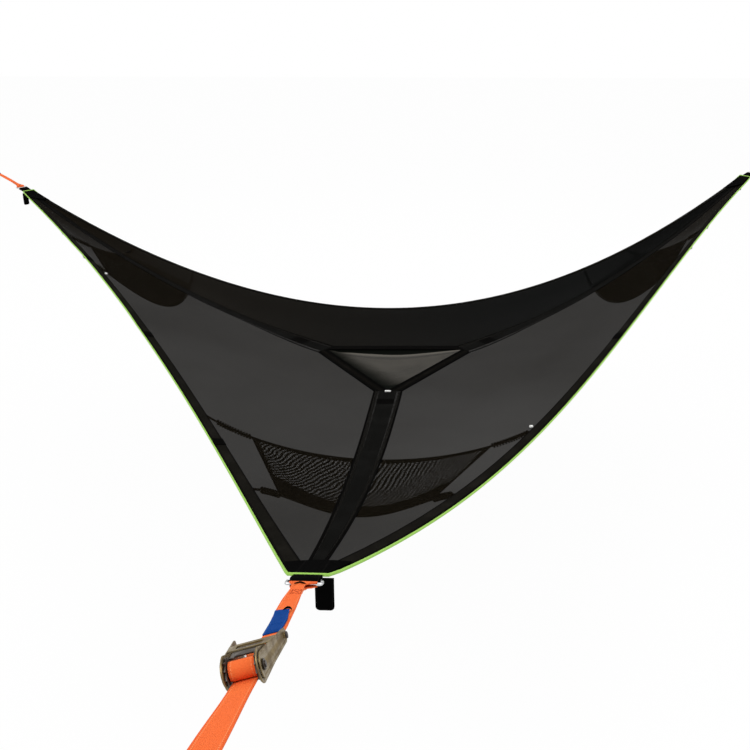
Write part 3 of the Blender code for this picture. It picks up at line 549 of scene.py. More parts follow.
class Bench:
    """A bench for wiring one procedural material, or the world, node by node."""

    def __init__(self, owner: str | bpy.types.World, shader: str = "Principled BSDF") -> None:
        """Start on a new material or on the world.

        Args:
            owner: Name of the new material, or the world.
            shader: The shader node that it starts with.
        """
        self.owner = bpy.data.materials.new(owner) if isinstance(owner, str) else owner
        self.owner.use_nodes = True
        self.tree = self.owner.node_tree
        self.shader = self.tree.nodes[shader]

    def feed(self, socket: Socket, value: object) -> None:
        """Link a socket to another, or set its value.

        Args:
            socket: The input to feed.
            value: A socket or a value.
        """
        if isinstance(value, Socket):
            self.tree.links.new(value, socket)
        elif isinstance(value, tuple) and len(value) == 3 and socket.type == "RGBA":
            socket.default_value = (*value, 1.0)
        else:
            socket.default_value = value

    def node(self, kind: str, inputs: dict[object, object], **settings: object) -> bpy.types.Node:
        """Add a node.

        Args:
            kind: The node's type, without the words ShaderNode.
            inputs: Values or sockets by input name or number.
            settings: The node's own properties.

        Returns:
            The new node.
        """
        made = self.tree.nodes.new("ShaderNode" + kind)
        for name, value in settings.items():
            setattr(made, name, value)
        for name, value in inputs.items():
            self.feed(made.inputs[name], value)
        return made

    def math(self, operation: str, *values: object) -> Socket:
        """Add a Math node and return its result."""
        return self.node("Math", dict(enumerate(values)), operation=operation).outputs[0]

    def mapped(self, value: object, low: object, high: object, to_low: object = 0.0, to_high: object = 1.0) -> Socket:
        """Ease a value from one range to another."""
        inputs = {"Value": value, "From Min": low, "From Max": high, "To Min": to_low, "To Max": to_high}
        return self.node("MapRange", inputs, interpolation_type="SMOOTHSTEP").outputs[0]

    def mixed(self, share: object, first: object, second: object) -> Socket:
        """Mix two colours by a share."""
        return self.node("Mix", {0: share, 6: first, 7: second}, data_type="RGBA").outputs[2]

    def noise(self, scale: float, detail: float, vector: object = None) -> Socket:
        """Return noise on Object coordinates, or on another vector."""
        place = vector if vector is not None else self.node("TexCoord", {}).outputs["Object"]
        return self.node("TexNoise", {"Vector": place, "Scale": scale, "Detail": detail}).outputs[0]

    def surface(self, layer: str = "metres") -> tuple[Socket, Socket]:
        """Return the way along and across from a UV map."""
        parts = self.node("SeparateXYZ", {0: self.node("UVMap", {}, uv_map=layer).outputs[0]})
        return parts.outputs[0], parts.outputs[1]

    def wave(self, value: object, pitch: float) -> Socket:
        """Return a sine of a length, from 0 to 1 over each pitch."""
        turns = self.math("MULTIPLY", value, 2 * pi / pitch)
        return self.math("MULTIPLY_ADD", self.math("SINE", turns), 0.5, 0.5)

    def dashes(self, along: object, over: object, row: float, pitch: float = 0.0042,
               width: float = 0.0011) -> Socket:
        """Return a mask of stitches in two rows, at a distance each side of the middle.

        Args:
            along: The way along.
            over: The way across.
            row: Distance of the rows from the middle.
            pitch: Distance from stitch to stitch.
            width: Width of a row.

        Returns:
            The mask.
        """
        off = self.math("ABSOLUTE", self.math("SUBTRACT", self.math("ABSOLUTE", over), row))
        in_row = self.math("LESS_THAN", off, width / 2)
        share = self.math("FRACT", self.math("DIVIDE", along, pitch))
        return self.math("MULTIPLY", in_row, self.math("LESS_THAN", share, 0.7))

    def done(self, colour: object, roughness: object, height: object = None, relief: float = 0.0003,
             **sockets: object) -> bpy.types.Material:
        """Feed the shader and return the material.

        Args:
            colour: Base colour, a socket or three numbers.
            roughness: Roughness, a socket or a number.
            height: Height for the bump, from 0 to 1.
            relief: Depth of the bump in metres.
            sockets: Other inputs of the shader, with _ for each space.

        Returns:
            The finished material.
        """
        self.feed(self.shader.inputs["Base Color"], colour)
        self.feed(self.shader.inputs["Roughness"], roughness)
        if height is not None:
            sockets["Normal"] = self.node("Bump", {"Height": height, "Distance": relief, "Strength": 0.8}).outputs[0]
        for name, value in sockets.items():
            self.feed(self.shader.inputs[name.replace("_", " ")], value)
        return self.owner


@dataclass(frozen=True)
class WebbingFinish:
    """Woven webbing: yarns in a herringbone, firm edges and two rows of stitches."""

    name: str
    yarn: Colour
    shade: Colour
    thread: Colour
    half_width: float
    rib: float = 0.0017
    yarns: float = 0.0014
    stitch_in: float = 0.003
    edge_share: float = 0.5
    edge_width: float = 0.0028
    wear: float = 0.35
    specular: float = 0.002

    def build(self) -> bpy.types.Material:
        """Return the webbing's material."""
        bench = Bench(self.name)
        along, over = bench.surface()
        fold = bench.math("PINGPONG", over, self.half_width / 3)
        ribs = bench.wave(bench.math("ADD", along, fold), self.rib)
        yarns = bench.wave(over, self.yarns)
        weave = bench.math("MULTIPLY_ADD", ribs, 0.6, bench.math("MULTIPLY", yarns, 0.4))
        colour = bench.mixed(weave, self.shade, self.yarn)
        worn = bench.mapped(bench.noise(9.0, 5.0), 0.45, 0.75, 0.0, self.wear)
        pale = tuple(min(part * 1.5 + 0.002, 1.0) for part in self.yarn)
        colour = bench.mixed(worn, colour, pale)
        rim = bench.mapped(bench.math("ABSOLUTE", over), self.half_width - self.edge_width,
                           self.half_width - self.edge_width + 0.0012, 0.0, self.edge_share)
        colour = bench.mixed(rim, colour, self.shade)
        stitches = bench.dashes(along, over, self.half_width - self.stitch_in)
        colour = bench.mixed(stitches, colour, self.thread)
        height = bench.math("MAXIMUM", weave, bench.math("MULTIPLY", stitches, 1.6))
        rough = bench.mapped(weave, 0.0, 1.0, 0.92, 0.72)
        return bench.done(colour, rough, height, 0.0004, Specular_IOR_Level=self.specular)


@dataclass(frozen=True)
class MeshClothFinish:
    """Fine mesh cloth: a knit of small cells that lets some light through."""

    name: str
    yarn: Colour
    shade: Colour
    cover: float
    cell: float = 0.0021
    specular: float = 0.002
    clouds: float = 0.0
    thin: float = 0.0
    dense_end: float = 0.0
    dense_start: float = 0.0
    speckle: float = 0.0
    moire: float = 0.0
    # Painted shade colour, mixed in along the run, or None
    drift: Colour | None = None

    def build(self) -> bpy.types.Material:
        """Return the cloth's material."""
        bench = Bench(self.name)
        along, over = bench.surface()
        run, _ = bench.surface("share")
        slant = bench.math("MULTIPLY_ADD", over, 0.5, along)
        cells = bench.math("MULTIPLY", bench.wave(slant, self.cell), bench.wave(over, self.cell * 0.87))
        colour = bench.mixed(cells, self.yarn, self.shade)
        mottle = bench.mapped(bench.noise(2.2, 4.0), 0.35, 0.7, 0.0, 0.5)
        colour = bench.mixed(mottle, colour, self.shade)
        # Painted shade: the colour darkens along the run towards the painted shade colour
        if self.drift is not None:
            colour = bench.mixed(bench.mapped(run, 0.15, 0.75), colour, self.drift)
        threads = bench.mapped(bench.noise(420.0, 1.0), 0.4, 0.7, 0.0, 0.25)
        height = bench.math("SUBTRACT", 1.0, bench.math("ADD", cells, threads))
        material = bench.done(colour, bench.mapped(cells, 0.0, 1.0, 0.8, 0.95), height, 0.0004,
                              Specular_IOR_Level=self.specular)
        if self.moire:
            cover = self.banded(bench, along, over)
        elif self.clouds or self.thin or self.dense_end:
            cover = self.varied(bench, run)
        else:
            cover = self.cover
        bench.feed(bench.shader.inputs["Alpha"], cover)
        return material

    def banded(self, bench: Bench, along: Socket, over: Socket) -> Socket:
        """Return a cover with the shifting bands of two meshes seen one through the other.

        Args:
            bench: The material's bench.
            along: The way along.
            over: The way across.

        Returns:
            The cover.
        """
        slant = bench.math("MULTIPLY_ADD", along, 0.30, over)
        warped = bench.math("MULTIPLY_ADD", bench.noise(4.5, 2.0), 0.075, slant)
        return bench.mapped(bench.wave(warped, 0.0165), 0.2, 0.8, self.cover - self.moire, self.cover + self.moire)

    def varied(self, bench: Bench, run: Socket) -> Socket:
        """Return a cover that is thinner a third along, denser at the far end, and cloudy.

        Args:
            bench: The material's bench.
            run: Share of the way along, as a socket.

        Returns:
            The cover.
        """
        dip = bench.math("SUBTRACT", bench.mapped(run, 0.08, 0.24), bench.mapped(run, 0.34, 0.54))
        cover = bench.math("MULTIPLY_ADD", dip, -self.thin, self.cover)
        clouds = bench.mapped(bench.noise(1.6, 5.0), 0.3, 0.7, -self.clouds, self.clouds)
        dense = bench.math("ADD", bench.mapped(run, 0.76, 0.95, 0.0, self.dense_end),
                           bench.mapped(run, 0.05, 0.22, self.dense_start, 0.0))
        specks = bench.mapped(bench.noise(110.0, 2.0), 0.42, 0.62, 0.0, -self.speckle)
        total = bench.math("ADD", bench.math("ADD", cover, clouds), bench.math("ADD", dense, specks))
        return bench.math("MINIMUM", total, 1.0)


@dataclass(frozen=True)
class HatchClothFinish:
    """Thin hatch cloth: a dark band at its hung side, a pale hem and painted shade on its near side and tip."""

    name: str
    yarn: Colour
    shade: Colour
    # Dark colour of the band at the hung side, and the painted shade of the near side and tip
    facing: Colour
    facing_depth: float = 0.105
    hem_width: float = 0.030
    width: float = 0.70
    cover: float = 0.88

    def build(self) -> bpy.types.Material:
        """Return the hatch cloth's material."""
        bench = Bench(self.name)
        length, width = bench.surface()
        down, across_share = bench.surface("share")
        cells = bench.math("MULTIPLY", bench.wave(length, 0.0021), bench.wave(width, 0.0019))
        colour = bench.mixed(bench.math("MULTIPLY", cells, 0.4), self.yarn, self.shade)
        clouds = bench.mapped(bench.noise(6.0, 4.0), 0.38, 0.68, 0.0, 0.55)
        colour = bench.mixed(clouds, colour, self.shade)
        bright = tuple(min(part * 1.9, 1.0) for part in self.yarn)
        bow = bench.math("MULTIPLY", bench.math("MULTIPLY", across_share, 4.0),
                         bench.math("SUBTRACT", 1.0, across_share))
        depth = bench.math("MULTIPLY_ADD", bow, -self.facing_depth, down)
        pale = bench.math("SUBTRACT", bench.mapped(depth, 0.004, 0.012),
                          bench.mapped(depth, self.hem_width, self.hem_width + 0.020))
        colour = bench.mixed(bench.math("MULTIPLY", pale, 0.75), colour, bright)
        seam = bench.math("SUBTRACT", bench.mapped(depth, self.hem_width + 0.015, self.hem_width + 0.03),
                          bench.mapped(depth, self.hem_width + 0.05, self.hem_width + 0.08))
        colour = bench.mixed(bench.math("MULTIPLY", seam, 0.7), colour, self.shade)
        # Painted shade: the near side and the tip, with a ragged edge, take the dark colour and let less light through
        width_left = bench.math("MULTIPLY", bench.math("SUBTRACT", 1.02, down), self.width)
        from_left = bench.math("MULTIPLY", across_share, width_left)
        ragged = bench.math("MULTIPLY_ADD", bench.noise(14.0, 3.0), 0.05, from_left)
        near = bench.mapped(ragged, 0.035, bench.mapped(down, 0.1, 0.8, 0.19, 0.30), 1.0, 0.0)
        tip = bench.mapped(bench.math("MULTIPLY_ADD", bench.noise(9.0, 2.0), 0.12, down), 0.78, 0.92)
        near = bench.math("MAXIMUM", near, tip)
        colour = bench.mixed(near, colour, self.facing)
        # A dark band along the hung side, in the same dark colour
        dark_band = bench.mapped(depth, 0.002, 0.010, 1.0, 0.0)
        colour = bench.mixed(dark_band, colour, self.facing)
        dark = bench.math("MAXIMUM", dark_band, bench.math("MULTIPLY", near, 0.8))
        height = bench.math("SUBTRACT", 1.0, cells)
        return bench.done(colour, 0.9, height, 0.0004, Specular_IOR_Level=0.005,
                          Alpha=bench.mapped(dark, 0.0, 1.0, self.cover, 1.0))


@dataclass(frozen=True)
class CordFinish:
    """A twisted or braided cord, its strands wound along it."""

    name: str
    strand: Colour
    shade: Colour
    lay: float = 0.009
    strands: int = 3
    relief: float = 0.0008
    roughness: float = 0.6
    specular: float = 0.3

    def build(self) -> bpy.types.Material:
        """Return the cord's material."""
        bench = Bench(self.name)
        along, _ = bench.surface()
        _, turn = bench.surface("share")
        phase = bench.math("ADD", bench.math("DIVIDE", along, self.lay),
                           bench.math("MULTIPLY", turn, float(self.strands)))
        twist = bench.math("ABSOLUTE", bench.math("SINE", bench.math("MULTIPLY", phase, pi)))
        fibre = bench.noise(900.0, 2.0)
        colour = bench.mixed(bench.mapped(twist, 0.0, 0.6), self.shade, self.strand)
        colour = bench.mixed(bench.mapped(fibre, 0.5, 0.8, 0.0, 0.3), colour, self.shade)
        height = bench.math("MULTIPLY_ADD", fibre, 0.15, twist)
        return bench.done(colour, bench.mapped(fibre, 0.3, 0.7, self.roughness, self.roughness + 0.2), height,
                          self.relief, Specular_IOR_Level=self.specular)


@dataclass(frozen=True)
class MetalFinish:
    """Plated or bare steel, with brushed streaks, dull patches and worn edges."""

    name: str
    plate: Colour
    stain: Colour
    bright: Colour
    roughness: float = 0.38
    metallic: float = 0.85
    grain: float = 60.0

    def build(self) -> bpy.types.Material:
        """Return the metal's material."""
        bench = Bench(self.name)
        place = bench.node("TexCoord", {}).outputs["Object"]
        brushed = bench.node("Mapping", {"Vector": place, "Scale": (1.0, 9.0, 9.0)}).outputs[0]
        streaks = bench.noise(self.grain, 4.0, brushed)
        patches = bench.noise(70.0, 4.0)
        colour = bench.mixed(bench.mapped(patches, 0.4, 0.72, 0.0, 0.8), self.plate, self.stain)
        edge = bench.node("NewGeometry", {}).outputs["Pointiness"]
        colour = bench.mixed(bench.mapped(edge, 0.53, 0.60, 0.0, 0.6), colour, self.bright)
        rough = bench.mapped(bench.math("ADD", streaks, patches), 0.7, 1.3, self.roughness - 0.1,
                             self.roughness + 0.18)
        return bench.done(colour, rough, streaks, 0.00008, Metallic=self.metallic)


@dataclass(frozen=True)
class PlasticFinish:
    """Moulded plastic with a fine grain and rubbed spots."""

    name: str
    body: Colour
    rubbed: Colour
    roughness: float = 0.4

    def build(self) -> bpy.types.Material:
        """Return the plastic's material."""
        bench = Bench(self.name)
        grain = bench.noise(1400.0, 2.0)
        rubs = bench.mapped(bench.noise(120.0, 3.0), 0.45, 0.7)
        colour = bench.mixed(rubs, self.body, self.rubbed)
        return bench.done(colour, bench.mapped(rubs, 0.0, 1.0, self.roughness, self.roughness + 0.2), grain, 0.00006)


FINISHES = {
    "floor": MeshClothFinish("floor_mesh", (0.0066, 0.0052, 0.0032), (0.0052, 0.0042, 0.0028), 0.819,
                             clouds=0.012, thin=0.030, dense_end=0.11),
    # The far panel's denser cover and its painted shade colour darken it, as painted shade of a grazing view
    "far_floor": MeshClothFinish("far_floor_mesh", (0.0070, 0.0056, 0.0036), (0.0054, 0.0044, 0.0030), 0.936,
                                 dense_end=0.03, dense_start=0.04, drift=(0.0028, 0.0030, 0.0028)),
    # hatch: its third colour is the dark band's colour, and the painted shade of the near side and tip
    "hatch": HatchClothFinish("hatch_mesh", (0.064, 0.059, 0.050), (0.038, 0.036, 0.031), (0.0028, 0.0034, 0.0026)),
    "strap_side": MeshClothFinish("strap_side_weave", (0.0105, 0.0098, 0.0086), (0.0042, 0.0040, 0.0035), 0.92,
                                  cell=0.0034, clouds=0.03, speckle=0.12),
    "pocket": MeshClothFinish("pocket_mesh", (0.0085, 0.0085, 0.0075), (0.0050, 0.0050, 0.0044), 0.53, moire=0.42),
    "side_pocket": MeshClothFinish("side_pocket_mesh", (0.0060, 0.0060, 0.0050), (0.0040, 0.0041, 0.0034), 0.93,
                                   clouds=0.04),
    "hem": WebbingFinish("pocket_hem_webbing", (0.0062, 0.0062, 0.0058), (0.0034, 0.0034, 0.0032),
                         (0.011, 0.010, 0.009), 0.011),
    "band": WebbingFinish("band_webbing", (0.0136, 0.0124, 0.0100), (0.0017, 0.0016, 0.0014), (0.014, 0.013, 0.011),
                          0.0165, edge_share=0.9, edge_width=0.0052),
    "rim": WebbingFinish("rim_webbing", (0.0068, 0.0060, 0.0048), (0.0012, 0.0012, 0.0011), (0.010, 0.009, 0.008),
                         0.0170, edge_share=0.92, edge_width=0.0085),
    "binding": WebbingFinish("binding_webbing", (0.0030, 0.0028, 0.0026), (0.0015, 0.0014, 0.0013),
                             (0.006, 0.006, 0.005), 0.040, wear=0.1),
    "strap": WebbingFinish("strap_webbing", (0.0062, 0.0061, 0.0056), (0.0036, 0.0036, 0.0033),
                           (0.012, 0.011, 0.010), 0.040, stitch_in=0.004),
    "loop": WebbingFinish("loop_webbing", (0.0034, 0.0033, 0.0033), (0.0016, 0.0016, 0.0016),
                          (0.010, 0.009, 0.009), 0.025),
    "tail": WebbingFinish("tail_webbing", (0.0030, 0.0029, 0.0030), (0.0015, 0.0015, 0.0015),
                          (0.008, 0.008, 0.008), 0.0165),
    "orange": WebbingFinish("orange_webbing", (1.0, 0.205, 0.052), (0.72, 0.100, 0.020), (0.92, 0.25, 0.09),
                            0.014, wear=0.2, specular=0.10),
    "tab": WebbingFinish("tab_webbing", (0.0060, 0.062, 0.290), (0.003, 0.036, 0.18), (0.010, 0.09, 0.38),
                         0.012, wear=0.04, stitch_in=0.002, specular=0.05),
    "piping": CordFinish("green_piping", (0.36, 0.64, 0.120), (0.20, 0.40, 0.060), lay=0.0022, strands=2,
                         relief=0.0003, roughness=0.5, specular=0.15),
    "cord": CordFinish("black_cord", (0.0046, 0.0042, 0.0036), (0.0016, 0.0015, 0.0013), specular=0.01),
    "thread": CordFinish("black_thread", (0.0075, 0.0070, 0.0065), (0.0025, 0.0025, 0.0025), lay=0.0016,
                         specular=0.04),
    "orange_thread": CordFinish("orange_thread", (0.62, 0.085, 0.02), (0.35, 0.04, 0.010), lay=0.0016,
                                specular=0.10),
    "steel": MetalFinish("bright_steel", (0.62, 0.63, 0.64), (0.42, 0.42, 0.43), (0.82, 0.82, 0.82), 0.26, 1.0),
    "plated": MetalFinish("yellow_plated_steel", (0.205, 0.148, 0.062), (0.110, 0.075, 0.036),
                          (0.32, 0.28, 0.17)),
    "dark": MetalFinish("dark_steel", (0.060, 0.050, 0.042), (0.030, 0.022, 0.018), (0.20, 0.18, 0.16), 0.42),
    "clip": PlasticFinish("white_plastic", (0.82, 0.82, 0.80), (0.72, 0.72, 0.70)),
    "cap": PlasticFinish("dark_plastic", (0.020, 0.012, 0.010), (0.035, 0.025, 0.02), 0.5),
}
MADE: dict[str, bpy.types.Material] = {}


def finished(obj: Piece, finishes: str, node: str = "", slot: str = "black_webbing",
             body: str = "hammock") -> Piece:
    """Dress a shaped piece, let it stand for its CAD node and ride on its body.

    Args:
        obj: The shaped piece, its faces numbered by finish.
        finishes: Names of its finishes, each of which is made once.
        node: The CAD node that it replaces, if any.
        slot: The record's material slot; not used.
        body: The CAD body that it moves with.

    Returns:
        The same piece.
    """
    numbers = [face.material_index for face in obj.data.polygons]
    obj.data.materials.clear()
    names = finishes.split()
    for name in names:
        if name not in MADE:
            MADE[name] = FINISHES[name].build()
        obj.data.materials.append(MADE[name])
    obj.data.polygons.foreach_set("material_index", [min(number, len(names) - 1) for number in numbers])
    if node:
        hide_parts(node)
    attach(obj, body)
    LOG.info("%s rides on %s: %d faces", obj.name, body, len(numbers))
    return obj


def cloth_piece(name: str, rows: Sequence[Sequence[Vector]], thickness: float, finishes: str, node: str = "",
                slot: str = "black_webbing", body: str = "hammock",
                which: Callable[[int, int], int] | None = None) -> Piece:
    """Lay a thin woven piece over rows of points and finish it.

    Args:
        name: Name of the piece.
        rows: Rows of points along it.
        thickness: Its thickness.
        finishes: Names of its finishes.
        node: The CAD node that it replaces, if any.
        slot: The record's material slot.
        body: The CAD body that it moves with.
        which: Says which finish a face has, by its row and column.

    Returns:
        The piece.
    """
    obj = lofted(name, rows)
    if which is not None:
        for face in obj.data.polygons:
            face.material_index = which(*divmod(face.index, len(rows[0]) - 1))
    return finished(thickened(obj, thickness), finishes, node, slot, body)


# The hung shape

@dataclass(frozen=True)
class CornerPlan:
    """Sizes of one corner and of what leads from it."""

    rise: float
    slope: float
    strap_sag: float
    hatch: tuple[float, float, float]


@dataclass(frozen=True)
class EdgePlan:
    """Ends of one edge, its inward bow and its sag, and how far each leans."""

    first: Corner
    second: Corner
    bow: float
    bow_lean: float
    sag: float
    sag_lean: float
    sag_spread: float


@dataclass(eq=False)
class HungShape:
    """The hung hammock's corners, edges, straps and hatch as curves in space."""

    half_span: float = 2.014
    corner_depth: float = 3.608
    flat_end: float = 0.064
    line_reach: float = 0.86
    rim_nose: float = 0.008
    strap_corner_width: float = 0.030
    strap_hatch_width: float = 0.118
    strap_swell: float = 0.009
    band_width: float = 0.033
    rim_from: float = 0.44
    rim_to: float = 0.56
    gap: float = 0.0003
    seam_gap: float = 0.0006
    strap_rows: int = 44
    rim_rows: int = 12
    corners: dict[Corner, CornerPlan] = field(default_factory=lambda: {
        Corner.FRONT: CornerPlan(0.0, 0.48, 0.075, (0.091, 1.945, -0.522)),
        Corner.LEFT: CornerPlan(-0.050, 0.29, 0.099, (-0.213, 2.549, -0.583)),
        Corner.RIGHT: CornerPlan(0.059, 0.29, 0.121, (0.424, 2.521, -0.563)),
    })
    edges: dict[Edge, EdgePlan] = field(default_factory=lambda: {
        Edge.LEFT: EdgePlan(Corner.FRONT, Corner.LEFT, 0.217, -0.154, 0.295, -0.549, 0.131),
        Edge.RIGHT: EdgePlan(Corner.FRONT, Corner.RIGHT, 0.123, 0.040, 0.353, -0.364, -0.116),
        Edge.FAR: EdgePlan(Corner.LEFT, Corner.RIGHT, 0.187, -0.002, 0.678, 0.110, -0.003),
    })

    def __post_init__(self) -> None:
        """Work out the corners and the cloth's rows once."""
        reach = Vector((0.0, 1.0, -self.corners[Corner.FRONT].slope)).normalized() * self.line_reach
        offsets = {Corner.FRONT: Vector(), Corner.LEFT: Vector((-self.half_span, self.corner_depth, 0.0)),
                   Corner.RIGHT: Vector((self.half_span, self.corner_depth, 0.0))}
        self.points = {corner: reach + offsets[corner] + UP * plan.rise for corner, plan in self.corners.items()}
        self.middle = sum(self.points.values(), Vector()) / 3
        self.rows = {edge: [self.row(edge, share) for share in self.shares()] for edge in Edge}

    def outward(self, corner: Corner) -> Vector:
        """Return the level unit vector from the middle through a corner.

        Args:
            corner: The corner.

        Returns:
            The direction.
        """
        away = self.points[corner] - self.middle
        away.z = 0.0
        return away.normalized()

    def others(self, corner: Corner) -> list[Corner]:
        """Return the two other corners."""
        return [other for other in Corner if other is not corner]

    def flat_end_point(self, corner: Corner, other: Corner) -> Vector:
        """Return the end of a corner's flat end that faces another corner."""
        side = facing(self.outward(corner).cross(UP), self.points[other] - self.points[corner])
        return self.points[corner] + side * (self.flat_end / 2)

    def edge_point(self, edge: Edge, share: float) -> Vector:
        """Return a point of a hung edge at a share of its way.

        Args:
            edge: The edge.
            share: Share of the way along it.

        Returns:
            The point.
        """
        plan = self.edges[edge]
        start = self.flat_end_point(plan.first, plan.second)
        end = self.flat_end_point(plan.second, plan.first)
        inward = self.middle - (self.points[plan.first] + self.points[plan.second]) / 2
        inward.z = 0.0
        lean = 2 * share - 1
        bow = plan.bow * arch(share) * (1 + plan.bow_lean * lean)
        sag = plan.sag * arch(share) * (1 + plan.sag_lean * lean + plan.sag_spread * lean * lean)
        return start.lerp(end, share) + inward.normalized() * bow + DOWN * sag

    def edge_tangent(self, edge: Edge, share: float) -> Vector:
        """Return the unit direction of a hung edge."""
        return run_at(lambda at: self.edge_point(edge, at), share).normalized()

    def hatch_vertex(self, corner: Corner) -> Vector:
        """Return the vertex of the hatch opening that points to a corner."""
        return self.points[Corner.FRONT] + Vector(self.corners[corner].hatch)

    def hatch_middle(self) -> Vector:
        """Return the centre of the hatch opening."""
        return sum((self.hatch_vertex(corner) for corner in Corner), Vector()) / 3

    def hatch_normal(self) -> Vector:
        """Return the upward unit normal of the hatch opening."""
        left = self.hatch_vertex(Corner.LEFT) - self.hatch_vertex(Corner.FRONT)
        right = self.hatch_vertex(Corner.RIGHT) - self.hatch_vertex(Corner.FRONT)
        return upward(right.cross(left))

    def hatch_reach(self, corner: Corner) -> Vector:
        """Return the unit vector in the hatch's plane from its middle to a vertex."""
        return (self.hatch_vertex(corner) - self.hatch_middle()).normalized()

    def rim_corner(self, corner: Corner, other: Corner) -> Vector:
        """Return the rim's outer corner at a strap, on another corner's side.

        Args:
            corner: The corner.
            other: Another corner, on the side that is meant.

        Returns:
            The point.
        """
        side = facing(self.hatch_normal().cross(self.hatch_reach(corner)),
                      self.hatch_vertex(other) - self.hatch_vertex(corner))
        nose = self.hatch_vertex(corner) + self.hatch_reach(corner) * self.rim_nose
        return nose + side * (self.strap_hatch_width / 2)

    def strap_point(self, corner: Corner, share: float) -> Vector:
        """Return a strap's centre line, from its corner to the hatch rim."""
        end = self.hatch_vertex(corner) + self.hatch_reach(corner) * (self.rim_nose + self.gap)
        return self.points[corner].lerp(end, share) + DOWN * (self.corners[corner].strap_sag * arch(share))

    def strap_half_width(self, share: float) -> float:
        """Return half of a strap's width, which grows towards the hatch."""
        straight = self.strap_corner_width + (self.strap_hatch_width - self.strap_corner_width) * share
        return (straight + self.strap_swell * arch(share)) / 2

    def half_beside(self, share: float) -> float:
        """Return half of the width of the strap or rim that faces an edge's share."""
        along = min(share / self.rim_from, (1 - share) / (1 - self.rim_to), 1.0)
        return self.strap_half_width(along)

    def edge_between(self, corner: Corner, other: Corner) -> tuple[Edge, bool]:
        """Return the edge of two corners, and whether it starts at the first.

        Args:
            corner: The corner.
            other: Another corner, on the side that is meant.

        Returns:
            The edge, and True where it starts at the first corner.
        """
        for edge, plan in self.edges.items():
            if {plan.first, plan.second} == {corner, other}:
                return edge, plan.first is corner
        raise ValueError("no edge between these corners")

    def strap_side(self, corner: Corner, other: Corner, share: float) -> Vector:
        """Return the unit direction across a strap, towards one of its panels.

        Args:
            corner: The corner.
            other: Another corner, on the side that is meant.
            share: Share of the way along the strap.

        Returns:
            The direction.
        """
        tangent = run_at(lambda at: self.strap_point(corner, at), share).normalized()
        edge, from_start = self.edge_between(corner, other)
        edge_share = self.rim_from * share if from_start else 1 - self.rim_from * share
        to_edge = across(self.edge_point(edge, edge_share) - self.strap_point(corner, share), tangent).normalized()
        third = next(each for each in Corner if each not in (corner, other))
        in_rim = (self.rim_corner(corner, other) - self.rim_corner(corner, third)).normalized()
        return to_edge.lerp(in_rim, smooth_step((share - 0.75) / 0.25)).normalized()

    def strap_frame(self, corner: Corner, share: float) -> tuple[Vector, tuple[Vector, Vector], Vector]:
        """Return a strap's middle at a share, its two ways across and its upward normal.

        Args:
            corner: The corner.
            share: Share of the way along the strap.

        Returns:
            The middle, the two ways and the normal.
        """
        one, two = self.others(corner)
        sides = self.strap_side(corner, one, share), self.strap_side(corner, two, share)
        run = run_at(lambda at: self.strap_point(corner, at), share, 0.01)
        return self.strap_point(corner, share), sides, upward(sides[0].cross(run))

    def seam_point(self, edge: Edge, share: float) -> Vector:
        """Return the point of a strap's or the rim's side that faces an edge's point.

        Args:
            edge: The edge.
            share: Share of the way along it.

        Returns:
            The point.
        """
        plan = self.edges[edge]
        for corner, other, along in ((plan.first, plan.second, share / self.rim_from),
                                     (plan.second, plan.first, (1 - share) / (1 - self.rim_to))):
            if along <= 1:
                side = self.strap_side(corner, other, along)
                return self.strap_point(corner, along) + side * self.strap_half_width(along)
        along = (share - self.rim_from) / (self.rim_to - self.rim_from)
        return self.rim_corner(plan.first, plan.second).lerp(self.rim_corner(plan.second, plan.first), along)

    def shares(self) -> list[float]:
        """Return the shares of an edge at which the cloth has its rows."""
        parts = [start + (end - start) * i / rows for start, end, rows in (
            (0.0, self.rim_from, self.strap_rows), (self.rim_from, self.rim_to, self.rim_rows),
            (self.rim_to, 1.0, self.strap_rows)) for i in range(rows)]
        return parts + [1.0]

    def row(self, edge: Edge, share: float) -> tuple[Vector, Vector, Vector, Vector]:
        """Return the band's two sides and the panel's two sides at a share.

        Args:
            edge: The edge.
            share: Share of the way along it.

        Returns:
            The four points, from the edge inwards.
        """
        start, end = self.edge_point(edge, share), self.seam_point(edge, share)
        way = (end - start).normalized()
        low = min(max(share - 0.002, 0.0), 0.996)
        seam_run = (self.seam_point(edge, low + 0.004) - self.seam_point(edge, low)).normalized()
        edge_lean = across(way, self.edge_tangent(edge, share)).length
        seam_lean = across(way, seam_run).length
        room = (end - start).length - self.gap / seam_lean
        band = min(self.band_width / edge_lean, room)
        return (start, start + way * band, start + way * (band + self.seam_gap / edge_lean),
                end - way * (self.seam_gap / seam_lean))

    def line_frame(self, corner: Corner) -> Matrix:
        """Return a corner's line frame: X across, Y out along it, Z up from it.

        Args:
            corner: The corner.

        Returns:
            The frame.
        """
        along = (self.outward(corner) + UP * self.corners[corner].slope).normalized()
        side = along.cross(UP).normalized()
        turn = Matrix((side, along, side.cross(along))).transposed().to_4x4()
        return Matrix.Translation(self.points[corner]) @ turn


# Cloth

def declare_sheet(obj: Piece) -> None:
    """Read a thin sheet's UVs in metres into pairs, which nothing uses further.

    Args:
        obj: The finished sheet, a thin closed shell.
    """
    pairs = np.zeros(len(obj.data.loops) * 2)
    obj.data.uv_layers["metres"].data.foreach_get("uv", pairs)
    pairs = pairs.reshape(-1, 2)


